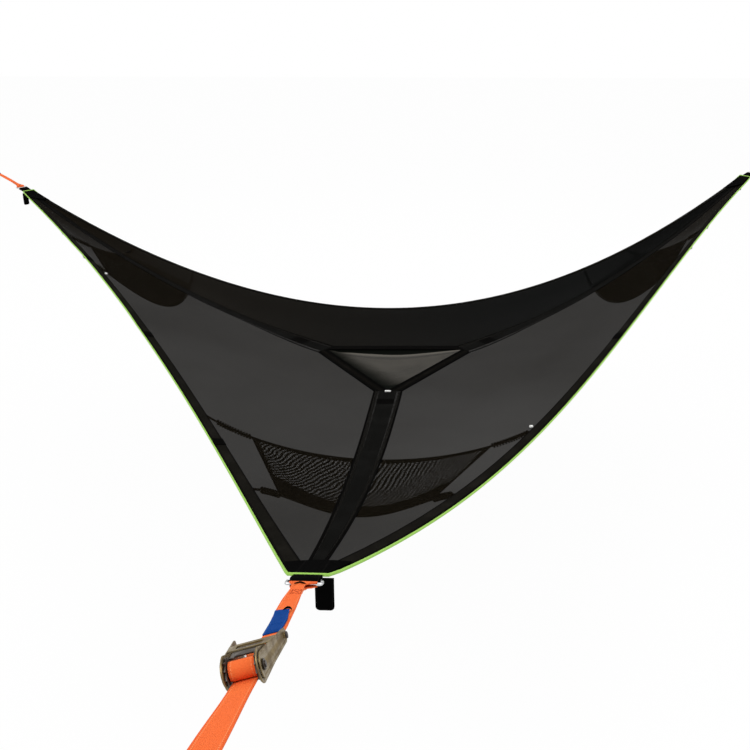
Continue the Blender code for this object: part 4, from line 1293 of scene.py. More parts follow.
@dataclass
class FloorPanels:
    """The three see-through floor panels, lapped under bands and straps."""

    shape: HungShape
    thickness: float = 0.0012
    droop: float = 0.035
    lap: float = 0.010
    strap_lap: float = 0.020
    tuck: float = 0.0025
    strap_tuck: float = 0.0019
    tuck_reach: float = 0.014
    ripple: float = 0.0035
    ripple_reach: float = 0.12
    fan: tuple[float, float, float] = (9.0, 2.2, 3.0)
    fan_size: float = 1.8
    pull: tuple[float, float, float] = (34.0, 3.0, 11.0)
    pull_size: float = 1.4
    pull_reach: float = 0.35
    columns: int = 30
    least_width: float = 0.004

    def place(self, edge: Edge, index: int, distance: float) -> Vector:
        """Return a point of a panel, with its lap, droop and ripples.

        Args:
            edge: The panel's edge.
            index: Number of its row.
            distance: How far in from the band it lies.

        Returns:
            The point.
        """
        rows = self.shape.rows[edge]
        start, _, outer, inner = rows[index]
        before, after = rows[max(index - 1, 0)][2], rows[min(index + 1, len(rows) - 1)][2]
        way = (inner - start).normalized()
        width = max((inner - outer).dot(way), self.least_width)
        outer = (inner + outer) / 2 - way * (width / 2)
        normal = upward(way.cross(after - before))
        share = index / (len(rows) - 1)
        over = min(max(distance / width, 0.0), 1.0)
        point = outer + way * distance
        point += DOWN * (self.droop * sin(pi * over) ** 2 * sin(pi * share))
        room = min(distance, width - distance)
        near = 1.0 - smooth_step(room / max(min(self.tuck_reach, width / 4), 0.001))
        point -= normal * ((self.tuck if distance < width / 2 else self.strap_tuck) * near)
        fan, pull = [noise.noise(Vector((share * along, over * across_it, first + len(str(edge)))))
                     for along, across_it, first in (self.fan, self.pull)]
        ends = smooth_step(min(share, 1 - share) / self.pull_reach)
        free = smooth_step(room / self.ripple_reach)
        return point + normal * free * (self.ripple * (self.fan_size * fan + pull * (self.pull_size - ends)))

    def build(self) -> None:
        """Build and dress the panels."""
        for edge in Edge:
            rows = self.shape.rows[edge]
            inside = [i for i, row in enumerate(rows) if (row[3] - row[2]).dot(row[3] - row[0]) > 0
                      and (row[3] - row[2]).length > self.least_width]
            lines = []
            for index in range(inside[0] - 1, inside[-1] + 2):
                way = (rows[index][3] - rows[index][0]).normalized()
                width = max((rows[index][3] - rows[index][2]).dot(way), self.least_width)
                laps = min(self.lap, max(width / 2, self.least_width))
                under = min(self.strap_lap, self.shape.half_beside(index / (len(rows) - 1)) - 0.003)
                steps = [-laps, *[width * k / self.columns for k in range(self.columns)], width, width + under]
                lines.append([self.place(edge, index, step) for step in steps])
            panel = cloth_piece(f"floor_panel_{edge}_cloth", lines, self.thickness,
                                "far_floor" if edge is Edge.FAR else "floor", f"floor_panel_{edge}",
                                "mesh_cloth")
            declare_sheet(panel)


@dataclass
class EdgeBands:
    """Webbing bands along the edges, the piping round them and the patches on them."""

    shape: HungShape
    thickness: float = 0.003
    marks: tuple[float, ...] = (0.0, 0.08, 0.16, 0.3, 0.5, 0.7, 0.84, 0.92, 1.0)
    grooves: tuple[float, float] = (0.08, 0.92)
    crown: float = 0.0006
    wave: float = 0.0005
    piping_radius: float = 0.003
    end_lift: float = 0.0042
    roll_in: float = 0.0020
    roll_down: float = 0.0044
    rolled: dict[Edge, tuple[tuple[float, ...], tuple[float, ...]]] = field(default_factory=lambda: {
        Edge.LEFT: ((0.0, 0.012, 0.36, 0.40, 0.55, 0.585, 0.76, 0.80, 0.97, 1.0),
                    (0.0, 0.80, 0.90, 1.0, 1.0, 0.0, 0.0, 1.0, 0.9, 0.0)),
        Edge.RIGHT: ((0.0, 0.03, 0.10, 0.16, 0.985, 1.0), (0.0, 0.4, 0.8, 1.0, 1.0, 0.0)),
        Edge.FAR: ((0.0, 0.01, 0.99, 1.0), (0.0, 0.8, 0.8, 0.0))})
    patches: tuple[tuple[Edge, float], ...] = ((Edge.LEFT, 0.2725), (Edge.LEFT, 0.5275), (Edge.LEFT, 0.75),
                                               (Edge.RIGHT, 0.55))
    patch_share: float = 0.0065
    patch_thickness: float = 0.0018
    patch_fold: float = 0.0004

    def build_patches(self) -> None:
        """Build the short stitched webbing patches that lie on the bands."""
        for number, (edge, share) in enumerate(self.patches):
            lines = []
            for i in range(13):
                outer, inner, _, _ = self.shape.row(edge, share + self.patch_share * (i / 6 - 1))
                normal = upward((inner - outer).cross(self.shape.edge_tangent(edge, share)))
                height = self.thickness + self.patch_fold * sin(i * 2.1)
                lines.append([outer.lerp(inner, k / 8) + normal * height for k in range(9)])
            cloth_piece(f"band_patch_{number}_webbing", lines, self.patch_thickness, "binding")

    def build(self) -> None:
        """Build and dress the bands and the piping."""
        self.build_patches()
        for edge in Edge:
            rows = self.shape.rows[edge]
            lines = []
            for index, (outer, inner, _, _) in enumerate(rows):
                run = rows[min(index + 1, len(rows) - 1)][0] - rows[max(index - 1, 0)][0]
                normal = upward((inner - outer).cross(run))
                line = []
                for mark in self.marks:
                    groove = -self.crown if mark in self.grooves else 0.0
                    wave = self.wave * noise.noise(Vector((index * 0.7, mark * 2.0, 5.0)))
                    line.append(outer.lerp(inner, mark) + normal * (groove + wave))
                lines.append(line)
            cloth_piece(f"edge_band_{edge}_webbing", lines, self.thickness, "band", f"edge_band_{edge}")
        run = self.run(Edge.LEFT) + self.run(Edge.FAR) + self.run(Edge.RIGHT)[::-1]
        piping = cord_piece("edge_piping_cord", run, self.piping_radius, 10, closed_run=True)
        finished(piping, "piping", "edge_piping", "green_piping")

    def run(self, edge: Edge) -> list[Vector]:
        """Return the piping's centre line along one edge, rolled under where it hides.

        Args:
            edge: The edge.

        Returns:
            The line's points.
        """
        plan = self.shape.edges[edge]
        points = []
        for share, (outer, inner, _, _) in zip(self.shape.shares(), self.shape.rows[edge]):
            tangent = self.shape.edge_tangent(edge, share)
            out = -across(inner - outer, tangent).normalized()
            normal = upward(out.cross(tangent))
            lift = 0.0
            if share in (0.0, 1.0):
                out = out + self.shape.outward(plan.first if share == 0.0 else plan.second)
                lift = self.end_lift
            rolled = float(np.interp(share, *self.rolled[edge]))
            beyond = self.piping_radius + self.shape.gap - self.roll_in * rolled
            points.append(outer + out * beyond + UP * lift - normal * (self.roll_down * rolled))
        return points


@dataclass
class CentreStraps:
    """Straps from the corners to the hatch: a dense middle, open sides, bound edges."""

    shape: HungShape
    thickness: float = 0.002
    steps: int = 90
    binding: float = 0.0055
    middle: float = 0.62
    wave: float = 0.0008
    heights: tuple[float, ...] = (0.0007, 0.0007, 0.0007, 0.0, 0.0, 0.0, 0.0006, 0.0005)

    def line(self, corner: Corner, along: float) -> list[Vector]:
        """Return the points across a strap at a share of it.

        Args:
            corner: The corner.
            along: Share of the way along.

        Returns:
            The points.
        """
        half = self.shape.strap_half_width(along)
        centre, sides, normal = self.shape.strap_frame(corner, along)
        bound = 1 - min(self.binding / half, 0.3)
        marks = [0.0, self.middle * 0.5, self.middle - 0.03, self.middle + 0.03, (self.middle + bound) / 2,
                 bound - 0.02, bound, 1.0]
        right = list(zip(marks, self.heights))
        points = []
        for mark, height in [(-mark, height) for mark, height in right[:0:-1]] + right:
            wave = self.wave * noise.noise(Vector((along * 26.0, mark * 1.6, 21.0)))
            points.append(centre + sides[mark >= 0] * (half * abs(mark)) + normal * (height + wave))
        return points

    def build(self) -> None:
        """Build and dress the straps."""
        last = 2 * len(self.heights) - 3
        for corner in Corner:
            cloth_piece(f"centre_strap_{corner}_webbing",
                        [self.line(corner, i / self.steps) for i in range(self.steps + 1)], self.thickness,
                        "strap strap_side binding", f"centre_strap_{corner}",
                        which=lambda row, column: (min(column, last - column) < 2) + (min(column, last - column) < 5))


@dataclass
class Hatch:
    """The hatch's webbing rim, the cloth cover that hangs from its far side, and the tacks."""

    shape: HungShape
    rim_thickness: float = 0.003
    rim_order: tuple[Corner, ...] = (Corner.FRONT, Corner.RIGHT, Corner.LEFT)
    nose_rows: int = 4
    side_rows: int = 24
    cover_thickness: float = 0.001
    cover_lap: float = 0.018
    cover_tip: float = 0.030
    cover_short: float = 0.024
    cover_droop: float = 0.030
    folds: tuple[tuple[float, float, float], ...] = ((0.10, 0.010, 0.020), (0.22, 0.007, 0.024), (0.36, 0.004, 0.030))
    columns: int = 48
    lines: int = 40
    tack_from: float = 0.908
    tack_to: float = 0.942
    tack_rows: int = 36
    tack_half: float = 0.034
    tack_thickness: float = 0.0009
    tack_height: float = 0.0020
    tack_rib: float = 0.0004
    tack_marks: tuple[float, ...] = (-1.0, -0.7, -0.35, 0.0, 0.35, 0.7, 1.0)
    rim_marks: tuple[tuple[float, float, float], ...] = ((0.0, 0.0, 0.0005), (0.0, 0.007, 0.0006), (0.0, 0.009, 0.0),
                                                         (0.5, 0.0, 0.0002), (1.0, -0.010, 0.0),
                                                         (1.0, -0.008, 0.0007), (1.0, 0.0, 0.0006))
    fold_fan: float = 0.35
    fold_held: tuple[float, float, float] = (0.75, 0.12, 0.05)
    hem: tuple[float, float, float] = (0.0012, 0.16, 0.012)
    ripple: float = 0.002

    def rim_line(self, outer: Vector, inner: Vector) -> list[Vector]:
        """Return the points across the rim, its two bound edges raised.

        Args:
            outer: Point on the outer side.
            inner: Point on the inner side.

        Returns:
            The points, from outside in.
        """
        normal = self.shape.hatch_normal()
        width = (outer - inner).length
        return [outer.lerp(inner, share + inset / width) + normal * height for share, inset, height in self.rim_marks]

    def build_rim(self) -> None:
        """Build and dress the rim, its far left side in the black binding finish as painted shade."""
        shape = self.shape
        lines = []
        for i, corner in enumerate(self.rim_order):
            following, previous = self.rim_order[(i + 1) % 3], self.rim_order[i - 1]
            vertex, next_vertex = shape.hatch_vertex(corner), shape.hatch_vertex(following)
            start, end = shape.rim_corner(corner, following), shape.rim_corner(following, corner)
            before = shape.rim_corner(corner, previous)
            lines += [self.rim_line(before.lerp(start, k / self.nose_rows), vertex) for k in range(self.nose_rows)]
            lines += [self.rim_line(start.lerp(end, k / self.side_rows), vertex.lerp(next_vertex, k / self.side_rows))
                      for k in range(self.side_rows)]
        lines.append([point.copy() for point in lines[0]])
        side = self.nose_rows + self.side_rows
        cloth_piece("hatch_rim_webbing", lines, self.rim_thickness - 0.001, "rim binding", "hatch_rim",
                    # Painted shade: the rows of the far side take the black binding finish
                    which=lambda row, column: int(side <= row < 2 * side))

    def cover_point(self, along: float, over: float) -> Vector:
        """Return a point of the cover.

        Args:
            along: Share of the way across it, from left to right.
            over: Share of the way from the hinge to the near tip.

        Returns:
            The point, with the cover's belly, folds and hem.
        """
        shape = self.shape
        normal = shape.hatch_normal()
        under = normal * (self.rim_thickness / 2 + shape.gap + self.cover_thickness / 2)
        hinge_left, hinge_right = [shape.hatch_vertex(corner) + shape.hatch_reach(corner) * (2 * self.cover_lap)
                                   for corner in (Corner.LEFT, Corner.RIGHT)]
        nose = 2 * self.cover_lap - self.cover_tip / (2 * tan(radians(30))) - self.cover_short
        tip = shape.hatch_vertex(Corner.FRONT) + shape.hatch_reach(Corner.FRONT) * nose
        near = tip + (hinge_right - hinge_left).normalized() * (self.cover_tip * (along - 0.5))
        point = hinge_left.lerp(hinge_right, along).lerp(near, over) - under
        belly = sin(pi * along) * sin(pi * over)
        last, first, top = self.fold_held
        held = (1 - smooth_step(along / last)) * smooth_step(along / first) * smooth_step(over / top)
        folds = -sum(depth * exp(-((over - lean * (self.fold_fan + along)) / width) ** 2) * held
                     for lean, depth, width in self.folds)
        hem_depth, hem_at, hem_width = self.hem
        hem = -hem_depth * exp(-((over - hem_at) / hem_width) ** 2)
        ripple = self.ripple * belly * noise.noise(Vector((along * 5.0, over * 4.0, 1.0)))
        return point - normal * (self.cover_droop * belly) + normal * (folds + hem + ripple)

    def build_cover(self) -> None:
        """Build and dress the cover, hung from the far side of the rim."""
        lines = [[self.cover_point(k / self.columns, i / self.lines) for k in range(self.columns + 1)]
                 for i in range(self.lines + 1)]
        cover = cloth_piece("hatch_cover_cloth", lines, self.cover_thickness, "hatch", "hatch_cover", "hatch_cloth",
                            "hatch_cover")
        declare_sheet(cover)

    def build_tacks(self) -> None:
        """Build the dark block, sewn in close rows, that holds each strap to the rim."""
        for corner in Corner:
            rows = []
            for i in range(self.tack_rows + 1):
                share = self.tack_from + (self.tack_to - self.tack_from) * i / self.tack_rows
                centre, sides, normal = self.shape.strap_frame(corner, share)
                height = self.tack_height + self.tack_rib * (i % 2)
                rows.append([centre + sides[mark >= 0] * (abs(mark) * self.tack_half) + normal * height
                             for mark in self.tack_marks])
            cloth_piece(f"strap_tack_{corner}", rows, self.tack_thickness, "binding")

    def build(self) -> None:
        """Build the hatch."""
        self.build_rim()
        self.build_cover()
        self.build_tacks()


@dataclass(frozen=True)
class CordPlan:
    """A pocket cord: its share along the edges, sag, bow, gather, and where the pocket starts on it."""

    share: float
    sag: float
    push: float
    gather: float
    start: float


@dataclass
class GearPockets:
    """Mesh pockets slung under the cloth on cords, each with a clip."""

    shape: HungShape
    mouths: dict[Corner, CordPlan] = field(default_factory=lambda: {
        Corner.FRONT: CordPlan(0.368, 0.220, 0.046, 0.79, 0.159),
        Corner.LEFT: CordPlan(0.232, 0.200, 0.155, 1.2, 0.110),
        Corner.RIGHT: CordPlan(0.210, 0.225, 0.055, 1.0, 0.125)})
    lowers: dict[Corner, CordPlan] = field(default_factory=lambda: {
        Corner.FRONT: CordPlan(0.182, 0.165, 0.150, 1.5, 0.140),
        Corner.LEFT: CordPlan(0.148, 0.055, 0.080, 1.15, 0.250),
        Corner.RIGHT: CordPlan(0.152, 0.055, 0.030, 0.9, 0.190)})
    columns: int = 72
    depth: int = 30
    belly: float = 0.05
    gathers: float = 0.004
    thickness: float = 0.0012
    cord_radius: float = 0.0035
    cord_drop: float = 0.012
    cord_step: float = 0.012
    band_thickness: float = 0.003
    lower_hem: float = 0.045
    doubled_foot: float = 0.200
    mouth_hem: float = 0.011
    side_hem: float = 0.016
    knot_at: float = 0.010
    knot_length: float = 0.0026
    knot_size: float = 0.0019
    wrap_from: float = 0.065
    wrap_radius: float = 0.0033
    wrap_pitch: float = 0.0100
    studs: tuple[tuple[Corner, Edge, float], ...] = ((Corner.FRONT, Edge.RIGHT, 0.330), (Corner.LEFT, Edge.LEFT, 0.704))
    stud_in: float = 0.006
    stud_height: float = 0.007
    stud_radius: float = 0.0065
    toggle_at: float = 0.992
    toggle_lift: float = 0.005
    toggle_half: float = 0.012
    toggle_radius: float = 0.0040
    clip_length: float = 0.030
    clip_wall: float = 0.003
    clip_edge: float = 0.0012
    clip_ribs: int = 5
    rib_step: float = 0.005
    rib_radius: float = 0.0006

    def band_under(self, corner: Corner, other: Corner, share: float) -> tuple[Vector, Vector]:
        """Return the point under a band's middle, and the direction away from it.

        Args:
            corner: The corner.
            other: Another corner, on the side that is meant.
            share: Share of the way along their edge.

        Returns:
            The point and the direction.
        """
        edge, from_start = self.shape.edge_between(corner, other)
        place = share if from_start else 1 - share
        outer, inner, _, _ = self.shape.row(edge, place)
        normal = -upward((inner - outer).cross(self.shape.edge_tangent(edge, place)))
        return (outer + inner) / 2 + normal * (self.band_thickness / 2 + self.shape.seam_gap), normal

    def line(self, corner: Corner, plan: CordPlan) -> tuple[Curve, Vector, Vector]:
        """Return a pocket cord's hanging curve, and its start and end under the bands.

        Args:
            corner: The corner.
            plan: The cord's plan.

        Returns:
            The curve, its start and its end.
        """
        one, two = self.shape.others(corner)
        start, start_down = self.band_under(corner, one, plan.share)
        end, end_down = self.band_under(corner, two, plan.share)
        first, last = start + start_down * self.cord_drop, end + end_down * self.cord_drop
        inward = -self.shape.outward(corner)

        def at(along: float) -> Vector:
            """Return the point at a share of the cord."""
            hang = max(arch(along), 0.0)
            return first.lerp(last, along) + DOWN * (plan.sag * hang ** plan.gather) + inward * (plan.push * hang)

        return at, start, end

    def pocket_point(self, corner: Corner, mouth: Curve, lower: Curve, along: float, over: float) -> Vector:
        """Return a point of a pocket.

        Args:
            corner: The pocket's corner.
            mouth: Its mouth cord's curve.
            lower: Its lower cord's curve.
            along: Share of the way across the pocket.
            over: Share of the way from the mouth cord to the lower one.

        Returns:
            The point, with the pocket's belly and gathers.
        """
        top, bottom = [line(plan.start + (1 - 2 * plan.start) * along)
                       for line, plan in ((mouth, self.mouths[corner]), (lower, self.lowers[corner]))]
        way = bottom - top
        inset = (self.cord_radius + self.shape.gap + self.thickness / 2) / way.length
        spot = top + way * (inset + (1 - 2 * inset) * over)
        gather = self.gathers * sin(along * 60.0) * (1 - over) * over
        return spot + DOWN * (self.belly * sin(pi * over) * sin(pi * along) + gather)

    def build(self) -> None:
        """Build and dress the pockets, cords, knots, clips, toggle and studs."""
        for corner in Corner:
            curves = []
            for kind, plan in (("mouth", self.mouths[corner]), ("lower", self.lowers[corner])):
                line, start, end = self.line(corner, plan)
                points = [start] + [line(i / 60) for i in range(61)] + [end]
                cord = cord_piece(f"pocket_{kind}_cord_{corner}_rope", resampled(points, self.cord_step),
                                  self.cord_radius, 10)
                finished(cord, "cord", f"pocket_{kind}_cord_{corner}", "rope")
                self.build_knots(f"{kind}_{corner}", line, plan.start)
                curves.append(line)
            self.build_pocket(corner, *curves)
            self.build_clip(corner, curves[0])
        base = self.shape.strap_point(Corner.FRONT, self.toggle_at) + UP * self.toggle_lift
        side = self.shape.outward(Corner.FRONT).cross(UP).normalized() * self.toggle_half
        toggle = rod("hatch_toggle_plastic", base - side, base + side, self.toggle_radius, 20, 0.0015)
        finished(toggle, "clip", slot="white_clip")
        for corner, edge, share in self.studs:
            _, inner, _, seam = self.shape.row(edge, share)
            normal = upward((seam - inner).cross(self.shape.edge_tangent(edge, share)))
            base = inner + (seam - inner).normalized() * self.stud_in + normal * 0.001
            stud = rod(f"clip_stud_{corner}_plastic", base, base + normal * self.stud_height, self.stud_radius, 24,
                       0.0025)
            finished(stud, "clip", slot="white_clip")

    def build_pocket(self, corner: Corner, mouth: Curve, lower: Curve) -> None:
        """Build one pocket with its hems.

        Args:
            corner: The pocket's corner.
            mouth: Its mouth cord's curve.
            lower: Its lower cord's curve.
        """
        lines = [[self.pocket_point(corner, mouth, lower, k / self.columns, i / self.depth)
                  for k in range(self.columns + 1)] for i in range(self.depth + 1)]
        width = (lines[self.depth // 2][-1] - lines[self.depth // 2][0]).length
        lower_hem = self.doubled_foot if corner is Corner.FRONT else self.lower_hem
        middle = [line[self.columns // 2] for line in lines]
        drop = sum((after - before).length for before, after in zip(middle, middle[1:]))

        def hemmed(row: int, column: int) -> int:
            """Return 1 for a face of a hem, 0 for one of the mesh.

            Args:
                row: The face's row.
                column: The face's column.

            Returns:
                The number of the face's finish.
            """
            from_side = min(column + 0.5, self.columns - column - 0.5) * width / self.columns
            from_mouth, from_lower = (row + 0.5) * drop / self.depth, (self.depth - row - 0.5) * drop / self.depth
            return int(from_side < self.side_hem or from_mouth < self.mouth_hem or from_lower < lower_hem)

        pocket = cloth_piece(f"pocket_{corner}_mesh", lines, self.thickness,
                             "pocket hem" if corner is Corner.FRONT else "side_pocket hem",
                             f"pocket_{corner}", "pocket_mesh", which=hemmed)
        declare_sheet(pocket)

    def build_knots(self, name: str, line: Curve, reach: float) -> None:
        """Build the knots beside the two bands, and the cord wound back to the pocket.

        Args:
            name: The cord's kind and corner.
            line: The cord's curve.
            reach: Share of the cord at which the pocket starts.
        """
        parts = []
        for share in (0.0, 1.0):
            centre = line(share)
            along = (line(abs(share - 0.03)) - centre).normalized()
            side = along.cross(UP).normalized()
            up = side.cross(along)
            points = []
            for t in (tau * k / 40 for k in range(40)):
                points.append(centre + along * (self.knot_length * cos(3 * t) + self.knot_at)
                              + side * (self.knot_size * (sin(t) + 2 * sin(2 * t)))
                              + up * (self.knot_size * (cos(t) - 2 * cos(2 * t))))
            parts.append(cord_piece("knot", points, self.cord_radius * 0.8, 8, closed_run=True))
            wound = resampled([line(abs(share - (self.wrap_from + (reach - self.wrap_from) * k / 24)))
                               for k in range(25)], self.wrap_pitch / 10)
            points = []
            for k, spot in enumerate(wound[:-1]):
                way = (wound[k + 1] - spot).normalized()
                side = way.cross(UP).normalized()
                angle = tau * k / 10
                points.append(spot + (side * cos(angle) + side.cross(way) * sin(angle))
                              * (self.cord_radius + self.wrap_radius))
            parts.append(cord_piece("wrap", points, self.wrap_radius, 6))
        finished(joined(f"cord_knots_{name}", parts), "cord", slot="rope")

    def build_clip(self, corner: Corner, line: Curve) -> None:
        """Build the clip that closes on a pocket's mouth cord beside the edge.

        Args:
            corner: The pocket's corner.
            line: The mouth cord's curve.
        """
        end = 0.0 if corner is Corner.LEFT else 1.0
        before, after = [line(share) for share in sorted((end, abs(end - 1 / 18)))]
        turn = (after - before).normalized().to_track_quat("Z", "Y").to_matrix().to_4x4()
        bore = self.cord_radius + self.shape.gap * 2
        outer, half = bore + self.clip_wall, self.clip_length / 2
        body = rod("clip", (0.0, 0.0, -half), (0.0, 0.0, half), outer, 24, self.clip_edge)
        body = cut(body, [rod("hole", (0.0, 0.0, -half - 0.01), (0.0, 0.0, half + 0.01), bore, 20)])
        ribs = [cord_piece("rib", [Vector((x, y, self.rib_step * (k - self.clip_ribs // 2))) for x, y in
                                   arc((0.0, 0.0), outer, 0.0, tau, 24)[:-1]], self.rib_radius, 6, closed_run=True)
                for k in range(self.clip_ribs)]
        clip = joined(f"pocket_clip_{corner}_plastic", [body] + ribs)
        clip.data.transform(Matrix.Translation((before + after) / 2) @ turn)
        finished(clip, "clip", f"pocket_clip_{corner}", "white_clip")


# Hardware of the three corners

def repeated(name: str, source: Piece, places: Sequence[Matrix]) -> Piece:
    """Repeat one small object at many places, as one object.

    Args:
        name: Name of the new piece.
        source: The object to repeat, which is removed.
        places: One matrix for each copy.

    Returns:
        The new object.
    """
    shape = bmesh.new()
    for place in places:
        mesh = source.data.copy()
        mesh.transform(place)
        shape.from_mesh(mesh)
        bpy.data.meshes.remove(mesh)
    mesh = bpy.data.meshes.new(name)
    shape.to_mesh(mesh)
    shape.free()
    bpy.data.objects.remove(source, do_unlink=True)
    piece = bpy.data.objects.new(name, mesh)
    bpy.context.scene.collection.objects.link(piece)
    return shaded(piece)


@dataclass(eq=False)
class RiggingLine:
    """The line of webbing from a corner of the cloth to its anchor loop, and what it passes."""

    shape: HungShape
    twist: float = radians(16)
    twist_from: float = 0.12
    twist_to: float = 0.42
    untwist_from: float = 0.60
    untwist_to: float = 0.76
    spindle_at: float = 0.566
    roll_radius: float = 0.0055 + 0.0005 + 0.0008 + 2 * 0.0021
    layer_gap: float = 0.0005
    ring_far: float = 0.074
    ring_rod: float = 0.0025
    bolt_at: tuple[float, float] = (0.083, -0.008)
    bolt_radius: float = 0.003
    station: float = 0.006
    crown: float = 0.00018

    def frame_at(self, corner: Corner, reach: float) -> Matrix:
        """Return the line's frame at a distance from the corner, turned with the webbing.

        Args:
            corner: The corner.
            reach: Distance from the corner.

        Returns:
            The frame.
        """
        wound = smooth_step((reach - self.twist_from) / (self.twist_to - self.twist_from))
        freed = smooth_step((reach - self.untwist_from) / (self.untwist_to - self.untwist_from))
        turn = Matrix.Rotation(self.twist * (wound - freed), 4, "Y")
        return self.shape.line_frame(corner) @ turn @ Matrix.Translation((0.0, reach, 0.0))

    def surface(self, corner: Corner, height: float, shift: float = 0.0) -> Surface:
        """Return the frame of a webbing's upper face by reach and place across."""
        return lambda reach, over: self.frame_at(corner, reach) @ Matrix.Translation((shift + over, 0.0, height))

    def ratchet_frame(self, corner: Corner) -> Matrix:
        """Return a ratchet's frame: origin on the spindle, Y back to the cloth.

        Args:
            corner: The corner.

        Returns:
            The frame.
        """
        turned = self.shape.line_frame(corner) @ Matrix.Rotation(self.twist, 4, "Y")
        spindle = Matrix.Translation((0.0, self.spindle_at, self.roll_radius))
        return turned @ spindle @ Matrix.Rotation(pi, 4, "Z")

    def ribbon(self, name: str, corner: Corner, path: Sequence[tuple[float, float, float, float]],
               thickness: float, relief: Callable[[float, float], float] | None = None,
               extra: Sequence[Sequence[Vector]] = ()) -> Piece:
        """Lay webbing along a path on the line.

        Args:
            name: Name of the piece.
            corner: The line's corner.
            path: Reach, height, half width and sideways shift of each station.
            thickness: The webbing's thickness.
            relief: Extra height by reach and share across, from -1 to 1.
            extra: Rows of points that follow the path's last one.

        Returns:
            The webbing.
        """
        fine = []
        for before, after in zip(path, path[1:]):
            span = hypot(after[0] - before[0], after[1] - before[1])
            count = max(1, ceil(span / self.station))
            fine += [tuple(a + (b - a) * k / count for a, b in zip(before, after)) for k in range(count)]
        rows = []
        for reach, height, half, shift in fine + [path[-1]]:
            place = self.frame_at(corner, reach)
            row = []
            for mark in RIBBON_MARKS:
                crown = self.crown * (1 - mark * mark) if height >= 0 else 0.0
                lift = relief(reach, mark) if relief is not None else 0.0
                row.append(place @ Vector((shift + half * mark, 0.0, height + crown + lift)))
            rows.append(row)
        return thickened(lofted(name, rows + list(extra)), thickness, 60.0)


def flat_stitches(name: str, place: Surface, lines: Sequence[Seam], pitch: float = 0.0042, length: float = 0.0031,
                  radius: float = 0.00052) -> Piece:
    """Sew lines of raised stitches onto webbing.

    Args:
        name: Name of the piece.
        place: Frame of the webbing's surface by reach and place across.
        lines: Starts and ends of the lines, each a reach and a place across.
        pitch: Distance from stitch to stitch.
        length: Length of one stitch.
        radius: Half of a stitch's width.

    Returns:
        The stitches.
    """
    stitch = rod("stitch", (0.0, -length / 2, 0.0), (0.0, length / 2, 0.0), radius, 6, radius * 0.7)
    places = []
    for (u0, v0), (u1, v1) in lines:
        span = hypot(u1 - u0, v1 - v0)
        turn = Matrix.Rotation(atan2(-(v1 - v0), u1 - u0), 4, "Z")
        for share in ((k + 0.5) * pitch / span for k in range(int(span / pitch))):
            places.append(place(u0 + (u1 - u0) * share, v0 + (v1 - v0) * share) @ turn)
    return repeated(name, stitch, places)


def boxed_cross(start: float, end: float, half: float) -> list[Seam]:
    """Return the lines of a boxed cross of stitches between two reaches."""
    return [((start, -half), (end, -half)), ((start, half), (end, half)), ((start, -half), (start, half)),
            ((end, -half), (end, half)), ((start, -half), (end, half)), ((start, half), (end, -half))]


